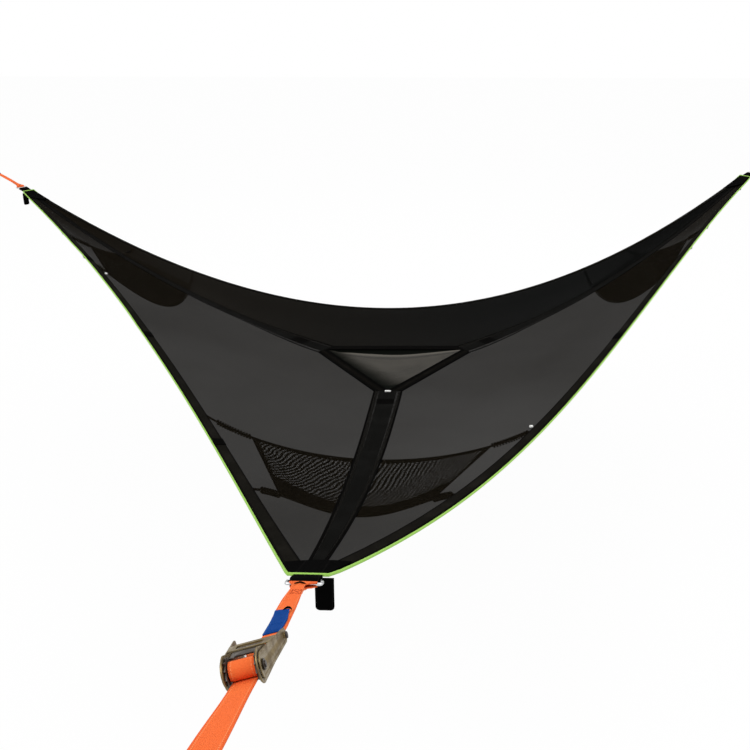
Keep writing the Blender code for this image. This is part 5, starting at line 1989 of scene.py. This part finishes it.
@dataclass
class CornerSets:
    """Loop, ring, hanging tail and stitched patch at each corner."""

    line: RiggingLine
    loop_width: float = 0.050
    loop_thickness: float = 0.0022
    piping_radius: float = 0.003
    ring_near: float = 0.050
    ring_half_width: float = 0.0290
    ring_corner: float = 0.0045
    weld_half: float = 0.0014
    weld_proud: float = 0.0004
    tail_width: float = 0.033
    tail_length: float = 0.066
    tail_thickness: float = 0.003
    tail_rounding: float = 0.008
    tail_swing: float = 0.0012
    tail_wave: float = 40.0
    tail_depths: tuple[float, ...] = (0.0, 0.004, 0.012, 0.02, 0.03, 0.04, 0.05)
    tail_marks: tuple[float, ...] = (-1.0, -0.8, -0.5, 0.0, 0.5, 0.8, 1.0)
    loop_stitches: tuple[float, ...] = (0.003, 0.0065, 0.010)
    stitch_in: float = 0.003
    patch_depths: tuple[float, ...] = (0.0015, 0.004, 0.014, 0.028, 0.042, 0.054, 0.068, 0.082, 0.094, 0.100,
                                       0.1015, 0.103)
    patch_thickness: float = 0.002
    patch_lift: float = 0.0040
    patch_fold: float = 0.0012
    patch_fold_at: float = 0.1005
    patch_fold_width: float = 0.002
    patch_rough: float = 0.0006
    patch_share: float = 0.95
    patch_marks: tuple[float, ...] = (-1.0, -0.85, -0.6, -0.3, 0.0, 0.3, 0.6, 0.85, 1.0)

    def build(self) -> None:
        """Build and dress each corner's set."""
        for corner in Corner:
            self.build_loop(corner)
            self.build_ring(corner)
            self.build_tail(corner)
            self.build_patch(corner)

    def build_loop(self, corner: Corner) -> None:
        """Build the loop that holds the ring, with three rows of stitches.

        Args:
            corner: The corner.
        """
        gap = self.line.shape.gap
        wrap = self.line.ring_rod + gap + self.loop_thickness / 2
        start = 2 * self.piping_radius + 3 * gap
        close = self.loop_thickness / 2 + self.line.layer_gap
        half = self.loop_width / 2
        lead = [(start, close), (start + 0.012, close), (self.ring_near - 0.010, wrap)]
        path = lead + arc((self.ring_near, 0.0), wrap, pi / 2, -pi / 2, 20)
        path += [(reach, -height) for reach, height in lead[::-1]]
        loop = self.line.ribbon(f"corner_loop_{corner}_webbing", corner,
                                [(reach, height, half, 0.0) for reach, height in path], self.loop_thickness)
        finished(loop, "loop", f"corner_loop_{corner}")
        seam = half - self.stitch_in
        lines = [((start + step, -seam), (start + step, seam)) for step in self.loop_stitches]
        finished(flat_stitches(f"corner_loop_{corner}_stitches",
                               self.line.surface(corner, close + self.loop_thickness / 2), lines), "thread")

    def build_ring(self, corner: Corner) -> None:
        """Build the rectangular steel ring with its weld.

        Args:
            corner: The corner.
        """
        wide, bend = self.ring_half_width, self.ring_corner
        right, far, near = wide - bend, self.line.ring_far - bend, self.ring_near + bend
        outline = []
        for x, y, turn in ((right, far, 0.0), (-right, far, 90.0), (-right, near, 180.0), (right, near, 270.0)):
            outline += arc((x, y), bend, radians(turn), radians(turn + 90), 8)
        place = self.line.shape.line_frame(corner)
        ring = cord_piece(f"corner_ring_{corner}_steel", [place @ Vector((x, y, 0.0)) for x, y in outline],
                          self.line.ring_rod, 20, closed_run=True)
        middle = (self.ring_near + self.line.ring_far) / 2
        ends = [place @ Vector((-wide, middle + reach, 0.0)) for reach in (-self.weld_half, self.weld_half)]
        weld = rod("weld", *ends, self.line.ring_rod + self.weld_proud, 20, 0.0004)
        finished(joined(ring.name, [ring, weld]), "steel", f"corner_ring_{corner}", "steel")

    def build_tail(self, corner: Corner) -> None:
        """Build the tail, where its CAD solid hangs, with rounded lower corners.

        Args:
            corner: The corner.
        """
        low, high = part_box(f"corner_tail_{corner}")
        out = self.line.shape.outward(corner)
        side = (self.line.shape.line_frame(corner).to_3x3() @ Vector((1.0, 0.0, 0.0))).normalized()
        middle = (low + high) / 2
        top = Vector((middle.x, middle.y, high.z))
        round_from = self.tail_length - self.tail_rounding
        rows = []
        for depth in [*self.tail_depths] + [self.tail_length - self.tail_rounding * (1 - sin(pi / 2 * k / 8))
                                            for k in range(9)]:
            below = max(0.0, depth - round_from)
            half = self.tail_width / 2 - self.tail_rounding + sqrt(max(self.tail_rounding ** 2 - below ** 2, 0.0))
            swing = self.tail_swing * sin(depth * self.tail_wave)
            rows.append([top + DOWN * depth + side * (half * mark) + out * (swing * (1 - 0.3 * mark))
                         for mark in self.tail_marks])
        cloth_piece(f"corner_tail_{corner}_webbing", rows, self.tail_thickness, "tail",
                    f"corner_tail_{corner}")

    def build_patch(self, corner: Corner) -> None:
        """Build the webbing patch that is sewn over the cloth's flat end.

        Args:
            corner: The corner.
        """
        shape = self.line.shape
        ends = []
        for other in shape.others(corner):
            edge, from_start = shape.edge_between(corner, other)
            near = shape.edge_point(edge, 0.0 if from_start else 1.0)
            away = shape.edge_point(edge, 0.006 if from_start else 0.994)
            ends.append((near, (away - near).normalized()))
        back = (ends[0][1] + ends[1][1]).normalized()
        first, second = shape.strap_point(corner, 0.0), shape.strap_point(corner, 0.01)
        lines = []
        for depth in self.patch_depths:
            left, right = [near + run * (depth / run.dot(back)) for near, run in ends]
            strap = first.lerp(second, depth / (second - first).length)
            fold = self.patch_fold * exp(-((depth - self.patch_fold_at) / self.patch_fold_width) ** 2)
            line = []
            for mark in self.patch_marks:
                spot = left.lerp(right, 0.5 * (1 - self.patch_share * mark))
                rise = max((strap - (left + right) / 2).z * (1 - mark * mark), 0.0)
                line.append(spot + UP * (self.patch_lift + rise + fold + self.patch_rough * noise.noise(spot * 90.0)))
            lines.append(line)
        cloth_piece(f"corner_patch_{corner}_webbing", lines, self.patch_thickness, "loop")


@dataclass
class Slings:
    """Orange slings from ring to ratchet, with their tabs, and the tree straps."""

    line: RiggingLine
    width: float = 0.028
    gather_at: tuple[float, ...] = (0.066, 0.080, 0.084, 0.090, 0.098, 0.120, 0.190, 0.250, 0.300, 0.360)
    gather_half: tuple[float, ...] = (0.0225, 0.0225, 0.0205, 0.0118, 0.0106, 0.0106, 0.0130, 0.0140, 0.0140, 0.0140)
    gather_shift: tuple[float, ...] = (0.0, 0.0, 0.0010, 0.0050, 0.0058, 0.0056, 0.0050, 0.0036, 0.0022, 0.0)
    thickness: float = 0.0016
    lap_end: float = 0.135
    eye_lap: float = 0.045
    tab_from: float = 0.270
    tab_to: float = 0.385
    tab_width: float = 0.024
    tab_narrow: float = 0.0205
    tab_shift: float = 0.003
    tab_lean: float = 0.0030
    tab_thickness: float = 0.0012
    tab_curl: float = 0.0022
    # Painted shadow of the fold below the ring, drawn as a dark cord: reach, place across and height of each spot
    fold: tuple[tuple[float, float, float], ...] = ((0.0885, 0.0130, 0.0036), (0.0855, 0.0085, 0.0042),
                                                    (0.0835, 0.0040, 0.0046), (0.0855, -0.0010, 0.0042),
                                                    (0.0885, -0.0055, 0.0036))
    # The tab's curled end, dressed black as painted shade: reach, place across and height of each spot
    curl: tuple[tuple[float, float, float], ...] = ((0.004, 0.0035, 0.0028), (0.0005, 0.0010, 0.0040),
                                                    (-0.0015, -0.0025, 0.0046), (0.0005, -0.0062, 0.0040),
                                                    (0.005, -0.0085, 0.0026))
    relief_to: float = 0.30
    chevron_at: float = 0.088
    chevron_lean: float = 0.006
    chevron_width: float = 0.0030
    chevron_half: float = 0.7
    chevron_depth: float = 0.0034
    pleat_at: float = 0.62
    pleat_width: float = 0.20
    pleat_from: float = 0.16
    pleat_fade: float = 0.10
    pleat_depth: float = 0.0020
    tab_stitches: tuple[float, ...] = (0.004, 0.008, 0.044)
    tab_stitch_half: float = 0.0095
    stitch_proud: float = 0.0002
    anchor_half_length: float = 0.030
    anchor_half_height: float = 0.020
    anchor_flat: float = 0.009
    anchor_lap: float = 0.050
    roll_turns: int = 2
    roll_steps: int = 32

    def build(self) -> None:
        """Build and dress each corner's webbing."""
        for corner in Corner:
            self.build_sling(corner)
            self.build_tab(corner)
            self.build_tree_strap(corner)

    def relief(self, reach: float, mark: float) -> float:
        """Return the height of the folds where a sling gathers below the ring.

        Args:
            reach: Distance from the corner.
            mark: Place across, from -1 to 1.

        Returns:
            The height.
        """
        if not self.line.ring_far + 0.004 < reach < self.relief_to:
            return 0.0
        beyond = reach - self.chevron_at - self.chevron_lean * abs(mark)
        chevron = exp(-(beyond / self.chevron_width) ** 2) * (abs(mark) < self.chevron_half)
        fading = 1 - smooth_step((reach - self.pleat_from) / self.pleat_fade)
        pleat = exp(-((mark - self.pleat_at) / self.pleat_width) ** 2) * fading
        return -self.chevron_depth * chevron - self.pleat_depth * pleat

    def build_sling(self, corner: Corner) -> None:
        """Build the sling with its eyes, a dark cord below the ring as painted shadow of its fold, and the boxed
        stitches.

        Args:
            corner: The corner.
        """
        line = self.line
        lap = self.thickness + line.layer_gap
        ring_wrap, bolt_wrap = [radius + line.shape.gap + self.thickness / 2
                                for radius in (line.ring_rod, line.bolt_radius)]
        bolt = (line.spindle_at - line.bolt_at[0], line.roll_radius + line.bolt_at[1])
        run_end = bolt[0] - self.eye_lap
        path = [(self.lap_end, -lap), (self.lap_end - 0.015, -lap), (line.ring_far + 0.020, -ring_wrap * 0.8),
                (line.ring_far + 0.012, -ring_wrap)]
        path += arc((line.ring_far, 0.0), ring_wrap, 1.5 * pi, 0.5 * pi, 20)
        path += [(line.ring_far + 0.006 + 0.004 * i, ring_wrap * (1 - smooth_step(i / 10))) for i in range(11)]
        path += [(self.lap_end + (run_end - self.lap_end) * i / 40, 0.0) for i in range(41)]
        path.append((bolt[0] - 0.012, bolt[1] - bolt_wrap))
        path += arc(bolt, bolt_wrap, 1.5 * pi, 2.5 * pi, 20)
        path += [(bolt[0] - 0.012, bolt[1] + bolt_wrap), (run_end + 0.012, lap), (run_end, lap)]
        stations = [(reach, height, *(float(np.interp(reach, self.gather_at, sizes))
                                      for sizes in (self.gather_half, self.gather_shift))) for reach, height in path]
        # Painted shadow: a dark cord lies in the fold below the ring
        self.build_roll(f"sling_fold_{corner}", corner, 0.0, 0.0, self.fold, 0.0012,
                        lambda share: 0.0013 * (0.35 + sin(pi * share)), 8, "orange_webbing")
        sling = line.ribbon(f"sling_{corner}_webbing", corner, stations, self.thickness, self.relief)
        finished(sling, "orange", f"sling_{corner}", "orange_webbing")
        top = self.thickness / 2 + self.stitch_proud
        near = flat_stitches("near_stitches", line.surface(corner, top, 0.003),
                             boxed_cross(self.lap_end - 0.012, self.lap_end + 0.018, self.width / 2 - 0.0065))
        far = flat_stitches("far_stitches", line.surface(corner, lap + top),
                            boxed_cross(run_end + 0.003, run_end + 0.026, self.width / 2 - 0.004))
        finished(joined(f"sling_{corner}_stitches", [near, far]), "orange_thread", slot="orange_webbing")

    def build_roll(self, name: str, corner: Corner, base: float, seat: float,
                   spots: Sequence[tuple[float, float, float]], step: float, radius: Callable[[float], float],
                   sides: int, slot: str) -> None:
        """Build a dark cord of painted shade through spots on the line, in the black tail finish.

        Args:
            name: Name of the piece.
            corner: The line's corner.
            base: Reach that the spots are counted from.
            seat: Height that they are counted from.
            spots: Reach, place across and height of each.
            step: Distance between the roll's rings.
            radius: Radius at a share of the way along.
            sides: Points of each ring.
            slot: The record's material slot.
        """
        points = [self.line.surface(corner, seat + height)(base + reach, over).translation
                  for reach, over, height in spots]
        finished(cord_piece(name, resampled(points, step), radius, sides), "tail", slot=slot)

    def build_tab(self, corner: Corner) -> None:
        """Build the tab, lifted at its end nearer the ring, bare and hemmed.

        Args:
            corner: The corner.
        """
        seat = self.thickness / 2 + self.line.shape.gap + self.tab_thickness / 2 + 0.0002
        path = []
        for share in (i / 30 for i in range(31)):
            eased = 1 - smooth_step(share / 0.6)
            lift = self.tab_curl * (1 - smooth_step(share / 0.2))
            half = (self.tab_width + (self.tab_narrow - self.tab_width) * eased) / 2
            path.append((self.tab_from + (self.tab_to - self.tab_from) * share, seat + lift, half,
                         self.tab_shift - 0.001 + self.tab_lean * eased))
        tab = self.line.ribbon(f"sling_tab_{corner}_webbing", corner, path, self.tab_thickness)
        # Painted shade: the tab's curled end is real, but it is dressed black
        self.build_roll(f"sling_tab_{corner}_roll", corner, self.tab_from, seat, self.curl, 0.001,
                        lambda share: 0.0017 * (1 - 0.55 * abs(2 * share - 1)), 10, "black_webbing")
        finished(tab, "tab", f"sling_tab_{corner}", "blue_tab")
        half = self.tab_stitch_half
        lines = [((self.tab_to - step, -half), (self.tab_to - step, half)) for step in self.tab_stitches]
        surface = self.line.surface(corner, seat + self.tab_thickness / 2 + self.stitch_proud, self.tab_shift)
        finished(flat_stitches(f"sling_tab_{corner}_stitches", surface, lines), "tab", slot="blue_tab")

    def winding_rows(self, corner: Corner) -> list[list[Vector]]:
        """Return the rows of the strap's turns on the drum.

        Args:
            corner: The corner.

        Returns:
            The rows.
        """
        place = self.line.ratchet_frame(corner)
        rows = []
        for i in range(1, self.roll_turns * self.roll_steps + 1):
            turn = i / self.roll_steps
            angle = tau * turn - pi / 2
            radius = self.line.roll_radius - (self.thickness + self.line.layer_gap) * turn
            rows.append([place @ Vector((-mark * self.width / 2, radius * cos(angle), radius * sin(angle)))
                         for mark in RIBBON_MARKS])
        return rows

    def build_tree_strap(self, corner: Corner) -> None:
        """Build the strap from the turns on the drum to its anchor loop.

        Args:
            corner: The corner.
        """
        reach_end = self.line.shape.line_reach
        neck = reach_end - self.anchor_half_length - 0.025
        low = -(self.thickness + self.line.layer_gap)
        rise, end = self.anchor_half_height, reach_end + self.anchor_half_length
        bulge = [(reach_end - 0.034, rise * 0.45), (reach_end - 0.014, rise * 0.93), (reach_end + 0.004, rise),
                 (end - 0.010, rise * 0.86), (end - 0.003, rise * 0.66), (end, self.anchor_flat)]
        path = [(neck - self.anchor_lap, low), (neck - 0.012, low), (neck, low)]
        path += [(reach, -height) for reach, height in bulge]
        path += bulge[::-1]
        path += [(neck + (self.line.spindle_at - neck) * i / 40, 0.0) for i in range(41)]
        strap = self.line.ribbon(f"tree_strap_{corner}_webbing", corner,
                                 [(reach, height, self.width / 2, 0.0) for reach, height in path], self.thickness,
                                 extra=self.winding_rows(corner))
        finished(strap, "orange", f"tree_strap_{corner}", "orange_webbing")
        cross = boxed_cross(neck - self.anchor_lap + 0.004, neck - 0.006, self.width / 2 - 0.004)
        surface = self.line.surface(corner, self.thickness / 2 + self.stitch_proud)
        finished(flat_stitches(f"tree_strap_{corner}_stitches", surface, cross), "orange_thread",
                 slot="orange_webbing")


def arm_plate(name: str, head: float, toe: float, toe_at: tuple[float, float], inner: float, thickness: float,
              panel: float) -> Piece:
    """Build a plate from a round head at the origin to a round toe, in the Y-Z plane.

    Args:
        name: Name of the plate.
        head: Radius of its head.
        toe: Radius of its toe.
        toe_at: The toe's centre, in Y and Z.
        inner: Place of its inner face along X.
        thickness: The plate's thickness.
        panel: Inset of the pressed panel on its outer face.

    Returns:
        The plate, its edges still sharp.
    """
    obj = primitive(name, bpy.ops.mesh.primitive_circle_add, vertices=72, radius=head, fill_type="NGON")
    ahead = Vector((*toe_at, 0.0)).normalized()
    lean = head * (head - toe) / Vector((*toe_at, 0.0)).length
    with editing(obj):
        pick(obj, lambda place: place.dot(ahead) > lean)
        bpy.ops.transform.resize(value=(toe / head,) * 3, center_override=(0.0, 0.0, 0.0))
        bpy.ops.transform.translate(value=(*toe_at, 0.0))
        raise_plate(thickness)
    with editing(obj, "FACE"):
        pick(obj, lambda place: place.z > thickness * 0.9, "FACE")
        bpy.ops.mesh.inset(thickness=panel)
        bpy.ops.mesh.inset(thickness=0.0006)
        bpy.ops.transform.translate(value=(0.0, 0.0, -0.0005))
    obj.data.transform(Matrix.Translation((inner, 0.0, 0.0)) @ STAND)
    return obj


def both_sides(plate: Piece) -> list[Piece]:
    """Return a plate and its mirror image across the middle.

    Args:
        plate: The plate on the right.

    Returns:
        The plate and its twin.
    """
    twin = copied(plate, plate.name + "_twin", Matrix.Diagonal((-1.0, 1.0, 1.0, 1.0)))
    with editing(twin):
        face_outwards()
    return [plate, twin]


def crossbar(name: str, start: float, end: float, at: tuple[float, float], radius: float, sides: int = 32,
             rounding: float = 0.0) -> Piece:
    """Build a bar along X between two places, at a place in Y and Z."""
    return rod(name, (start, *at), (end, *at), radius, sides, rounding)


def end_bars(name: str, start: float, end: float, at: tuple[float, float], radius: float, sides: int,
             rounding: float) -> list[Piece]:
    """Build the same short crossbar at both ends of a shaft."""
    return [crossbar(name, sign * start, sign * end, at, radius, sides, rounding) for sign in (-1, 1)]


@dataclass
class Ratchets:
    """The three ratchets: frame, handle, drum, two pawls and bolt of each."""

    line: RiggingLine
    sheet_metal: float = 0.0015
    rounding: float = 0.0003
    wheel_inner: float = 0.015
    wheel_thickness: float = 0.002
    wheel_teeth: int = 11
    wheel_tip: float = 0.0165
    wheel_root: float = 0.0130
    tooth_rake: float = 0.76
    mandrel_radius: float = 0.0055
    shaft_at: tuple[float, float] = (0.0, 0.0)
    shaft_radius: float = 0.0035
    slot_height: float = 0.0024
    frame_inner: float = 0.0177
    frame_head: float = 0.0185
    frame_toe: float = 0.009
    frame_web: tuple[float, float, float] = (0.020, 0.072, -0.0150)
    frame_panel: float = 0.0035
    frame_slot: tuple[float, float, float] = (0.007, 0.034, 0.042)
    bolt_head_radius: float = 0.0055
    bolt_head_height: float = 0.0035
    washer: float = 0.0008
    hole_play: float = 0.0003
    handle_inner: float = 0.0197
    handle_spread: float = 0.0085
    handle_head: float = 0.014
    handle_toe: float = 0.0085
    handle_toe_at: tuple[float, float] = (0.100, 0.0015)
    handle_web: tuple[float, float, float] = (0.038, 0.060, 0.0112)
    handle_panel: float = 0.0032
    window_half: float = 0.015
    grip_radius: float = 0.0035
    pawl_thickness: float = 0.002
    pawl_clear: float = 0.0004
    notch_share: float = 0.62
    lip_share: float = 0.6
    lip_thickness: float = 0.0016
    drive_pawl_end: float = 0.056
    lock_pawl_end: float = 0.045

    def hole(self, at: tuple[float, float], radius: float) -> Piece:
        """Return a bar that cuts a hole with its play through both sides."""
        return crossbar("hole", -0.05, 0.05, at, radius + self.hole_play)

    def web(self, name: str, size: tuple[float, float, float], inner: float) -> Piece:
        """Return the flat web that joins two side plates.

        Args:
            name: Name of the result.
            size: Start, end and level of the web.
            inner: Place of the side plates' inner faces.

        Returns:
            The web.
        """
        start, end, level = size
        reach = inner + self.sheet_metal / 2
        return block(name, (-reach, start, level), (reach, end, level + self.sheet_metal), 0.0)

    def spread(self, obj: Piece) -> Piece:
        """Spread a handle's part towards the grip.

        Args:
            obj: The object to work on.

        Returns:
            The same object.
        """
        for vertex in obj.data.vertices:
            out = self.handle_spread * max(vertex.co.y, 0.0) / self.handle_toe_at[0]
            vertex.co.x += copysign(out, vertex.co.x) if abs(vertex.co.x) > 0.001 else 0.0
        return obj

    def frame(self) -> Piece:
        """Build the frame: two side plates on a slotted base."""
        side = arm_plate("frame_side", self.frame_head, self.frame_toe, self.line.bolt_at, self.frame_inner,
                         self.sheet_metal, self.frame_panel)
        start, _, level = self.frame_web
        half, near, far = self.frame_slot
        frame = cut(self.web("frame_base", self.frame_web, self.frame_inner), both_sides(side), "UNION")
        slot = block("slot", (-half, start + near, level - 0.01), (half, start + far, level + 0.004), 0.002)
        return rounded(cut(frame, [slot, self.hole(self.shaft_at, self.shaft_radius),
                                   self.hole(self.line.bolt_at, self.line.bolt_radius)]), self.rounding)

    def handle(self) -> tuple[Piece, Piece]:
        """Build the handle: two arms, a web and a grip bar, and the bar's dark end caps."""
        arm = self.spread(arm_plate("handle_arm", self.handle_head, self.handle_toe, self.handle_toe_at,
                                    self.handle_inner, self.sheet_metal, self.handle_panel))
        arms = both_sides(arm)
        start, end, level = self.handle_web
        web = self.spread(self.web("handle_web", self.handle_web, self.handle_inner))
        half = self.handle_inner + self.sheet_metal + self.handle_spread + 0.0013
        handle = cut(web, arms + [crossbar("grip", -half, half, self.handle_toe_at, self.grip_radius)], "UNION")
        window = block("window", (-self.window_half, start + 0.004, level - 0.004),
                       (self.window_half, end - 0.0035, level + 0.006), 0.002)
        handle = rounded(cut(handle, [window, self.hole(self.shaft_at, self.shaft_radius)]), self.rounding)
        caps = end_bars("cap", half - 0.0004, half + 0.0022, self.handle_toe_at, self.grip_radius + 0.0006, 32, 0.0011)
        return handle, joined("handle_caps", caps)

    def wheel(self) -> Piece:
        """Build one toothed wheel of the drum."""
        wheel = primitive("wheel", bpy.ops.mesh.primitive_circle_add, vertices=2 * self.wheel_teeth,
                          radius=self.wheel_root, fill_type="NGON")
        step, first = pi / self.wheel_teeth, pi / 2
        with editing(wheel):
            pick(wheel, lambda place: round((atan2(place.y, place.x) - first) / step) % 2 == 1)
            bpy.ops.transform.resize(value=(self.wheel_tip / self.wheel_root,) * 3, center_override=(0.0, 0.0, 0.0))
            bpy.ops.transform.rotate(value=-self.tooth_rake * step, orient_axis="Z", center_override=(0.0, 0.0, 0.0))
            raise_plate(self.wheel_thickness)
        wheel.data.transform(Matrix.Translation((self.wheel_inner, 0.0, 0.0)) @ STAND
                             @ Matrix.Rotation(-first, 4, "Z"))
        return wheel

    def drum(self) -> Piece:
        """Build the drum: slotted mandrel, two wheels and the spindle's capped ends."""
        reach = self.wheel_inner + self.wheel_thickness / 2
        mandrel = crossbar("mandrel", -reach, reach, self.shaft_at, self.mandrel_radius, 40)
        outer = self.handle_inner + self.sheet_metal
        shaft = crossbar("shaft", -outer - 0.003, outer + 0.003, self.shaft_at, self.shaft_radius)
        drum = cut(mandrel, both_sides(self.wheel()) + [shaft], "UNION")
        half = self.wheel_inner - 0.0005
        slot = block("slot", (-half, -0.02, -self.slot_height / 2), (half, 0.02, self.slot_height / 2), 0.0)
        drum = rounded(cut(drum, [slot]), 0.00025)
        return joined("drum", [drum] + end_bars("collar", outer + 0.0003, outer + 0.0015, self.shaft_at,
                                                self.shaft_radius + 0.0024, 32, 0.0004))

    def pawl(self, start_level: float, low: float, end: float, lip: float) -> Piece:
        """Build a pawl: a notched plate with a folded finger lip.

        Args:
            start_level: Level at which its front end clears the wheels.
            low: Level of its lower face.
            end: Reach of its back end.
            lip: Height of the lip, down if negative.

        Returns:
            The pawl.
        """
        clear = self.wheel_tip + self.pawl_clear
        start = sqrt(clear * clear - start_level * start_level)
        half, top = self.frame_inner - 0.0007, low + self.pawl_thickness
        plate = block("pawl", (-half, start, low), (half, end, top), 0.0)
        side = half * self.notch_share
        notch = block("notch", (-side, start - 0.004, low - 0.004), (side, start + 0.006, low + 0.006), 0.0012)
        plate = rounded(cut(plate, [notch]), self.rounding)
        side = half * self.lip_share
        fold = block("lip", (-side, end - self.lip_thickness, min(low, low + lip)), (side, end, max(top, top + lip)))
        return joined("pawl", [plate, fold])

    def bolt(self) -> Piece:
        """Build the bolt with its hexagonal head, nut and washers."""
        at = self.line.bolt_at
        outer = self.frame_inner + self.sheet_metal + self.line.shape.gap
        parts = [crossbar("shank", -outer - 0.001, outer + 0.001, at, self.line.bolt_radius)]
        parts += end_bars("washer", outer, outer + self.washer, at, self.bolt_head_radius, 32, 0.0002)
        parts += end_bars("head", outer + self.washer, outer + self.bolt_head_height, at,
                          self.bolt_head_radius * 0.93, 6, 0.0005)
        return joined("bolt", parts)

    def build(self) -> None:
        """Build each part once, and put a dressed copy at every corner."""
        handle, caps = self.handle()
        drive_low = self.handle_web[2] - self.line.shape.gap - self.pawl_thickness
        lock_low = self.frame_web[2] + self.sheet_metal + self.line.shape.gap
        lock_top = lock_low + self.pawl_thickness
        for source, name, body, slot, finish, stands in (
                (self.frame(), "ratchet_frame", "", "khaki_plate", "plated", True),
                (handle, "ratchet_handle", "ratchet_handle", "khaki_plate", "plated", True),
                (caps, "handle_caps", "ratchet_handle", "dark_steel", "cap", False),
                (self.drum(), "ratchet_drum", "ratchet_drum", "dark_steel", "dark", True),
                (self.pawl(drive_low, drive_low, self.drive_pawl_end, -0.0015), "drive_pawl", "drive_pawl",
                 "dark_steel", "dark", True),
                (self.pawl(lock_top, lock_low, self.lock_pawl_end, 0.0030), "lock_pawl", "lock_pawl", "dark_steel",
                 "dark", True),
                (self.bolt(), "ratchet_bolt", "", "steel", "steel", True)):
            for corner in Corner:
                piece = copied(source, f"{name}_{corner}_made", self.line.ratchet_frame(corner))
                finished(piece, finish, f"{name}_{corner}" if stands else "", slot,
                         f"{body}_{corner}" if body else "hammock")
            bpy.data.objects.remove(source, do_unlink=True)


# Studio

@dataclass
class Studio:
    """Pale floor, soft lamps and the camera at the photograph's angle."""

    floor_drop: float = 0.55
    floor_size: float = 60.0
    floor_colour: Colour = (0.93, 0.93, 0.93)
    floor_glow: float = 0.972
    camera_at: tuple[float, float, float] = (0.159, -0.4092, 0.5032)
    camera_tilt: float = 66.99
    camera_turn: float = 2.22
    lens: float = 40.56
    world_level: float = 0.55
    white_level: float = 1.0
    lamp_size: float = 5.0
    lamp_target: tuple[float, float, float] = (0.0, 3.2, -0.6)
    lamps: tuple[tuple[tuple[float, float, float], float], ...] = (
        ((-3.5, -1.0, 5.5), 260.0), ((4.5, 1.5, 5.0), 170.0), ((0.5, 7.5, 4.0), 120.0))

    def backed(self, bench: Bench, seen: str, share: float, output: str) -> None:
        """Show white to the rays that show the backdrop, straight, mirrored or through glass.

        Args:
            bench: The material's or the world's bench, its own shader fed.
            seen: Kind of the white shader.
            share: How much of it those rays get.
            output: Name of the output node.
        """
        path = bench.node("LightPath", {}).outputs
        rays = bench.math("MAXIMUM", bench.math("MAXIMUM", path["Is Camera Ray"], path["Is Glossy Ray"]),
                          path["Is Transmission Ray"])
        white = bench.node(seen, {"Color": WHITE, "Strength": self.white_level})
        mix = bench.node("MixShader", {0: bench.math("MULTIPLY", rays, share), 1: bench.shader.outputs[0],
                                       2: white.outputs[0]})
        bench.feed(bench.tree.nodes[output].inputs["Surface"], mix.outputs[0])

    def build_floor(self) -> None:
        """Build the pale floor below the hammock."""
        floor = primitive("studio_floor", bpy.ops.mesh.primitive_plane_add, size=self.floor_size,
                          location=(0.0, 3.0, CAD_LOW.z - self.floor_drop))
        bpy.ops.object.transform_apply(location=True, rotation=True, scale=True)
        bench = Bench("pale_floor")
        bench.done(self.floor_colour, 0.9, Specular_IOR_Level=0.0)
        self.backed(bench, "Emission", self.floor_glow, "Material Output")
        floor.data.materials.append(bench.owner)

    def build_world(self) -> None:
        """Light the scene evenly, with a white backdrop."""
        bpy.context.scene.world = bpy.data.worlds.new("studio_world")
        bench = Bench(bpy.context.scene.world, "Background")
        bench.feed(bench.shader.inputs["Color"], WHITE)
        bench.feed(bench.shader.inputs["Strength"], self.world_level)
        self.backed(bench, "Background", 1.0, "World Output")

    def build_lamps(self) -> None:
        """Add the large soft lamps."""
        for index, (place, power) in enumerate(self.lamps):
            data = bpy.data.lights.new(f"soft_lamp_{index}", "AREA")
            data.shape, data.size, data.energy = "SQUARE", self.lamp_size, power
            lamp = bpy.data.objects.new(f"soft_lamp_{index}", data)
            bpy.context.scene.collection.objects.link(lamp)
            lamp.location = place
            lamp.rotation_euler = (Vector(self.lamp_target) - Vector(place)).to_track_quat("-Z", "Y").to_euler()

    def build_camera(self) -> None:
        """Put the camera where the photograph was taken."""
        data = bpy.data.cameras.new("photo_camera")
        data.lens, data.sensor_width, data.clip_start, data.clip_end = self.lens, 36.0, 0.02, 200.0
        camera = bpy.data.objects.new("photo_camera", data)
        bpy.context.scene.collection.objects.link(camera)
        camera.location = self.camera_at
        camera.rotation_euler = (radians(self.camera_tilt), 0.0, radians(self.camera_turn))
        bpy.context.scene.camera = camera

    def build(self) -> None:
        """Build the studio."""
        self.build_camera()
        self.build_floor()
        self.build_world()
        self.build_lamps()
        bpy.context.scene.view_settings.view_transform = "Standard"


def main() -> None:
    """Build the hammock's looks in order."""
    logging.basicConfig(level=logging.INFO, format="%(message)s")
    Studio().build()
    shape = HungShape()
    for part in (EdgeBands, CentreStraps, Hatch, FloorPanels, GearPockets):
        part(shape).build()
    line = RiggingLine(shape)
    for part in (CornerSets, Slings, Ratchets):
        part(line).build()


if __name__ == "__main__":
    main()
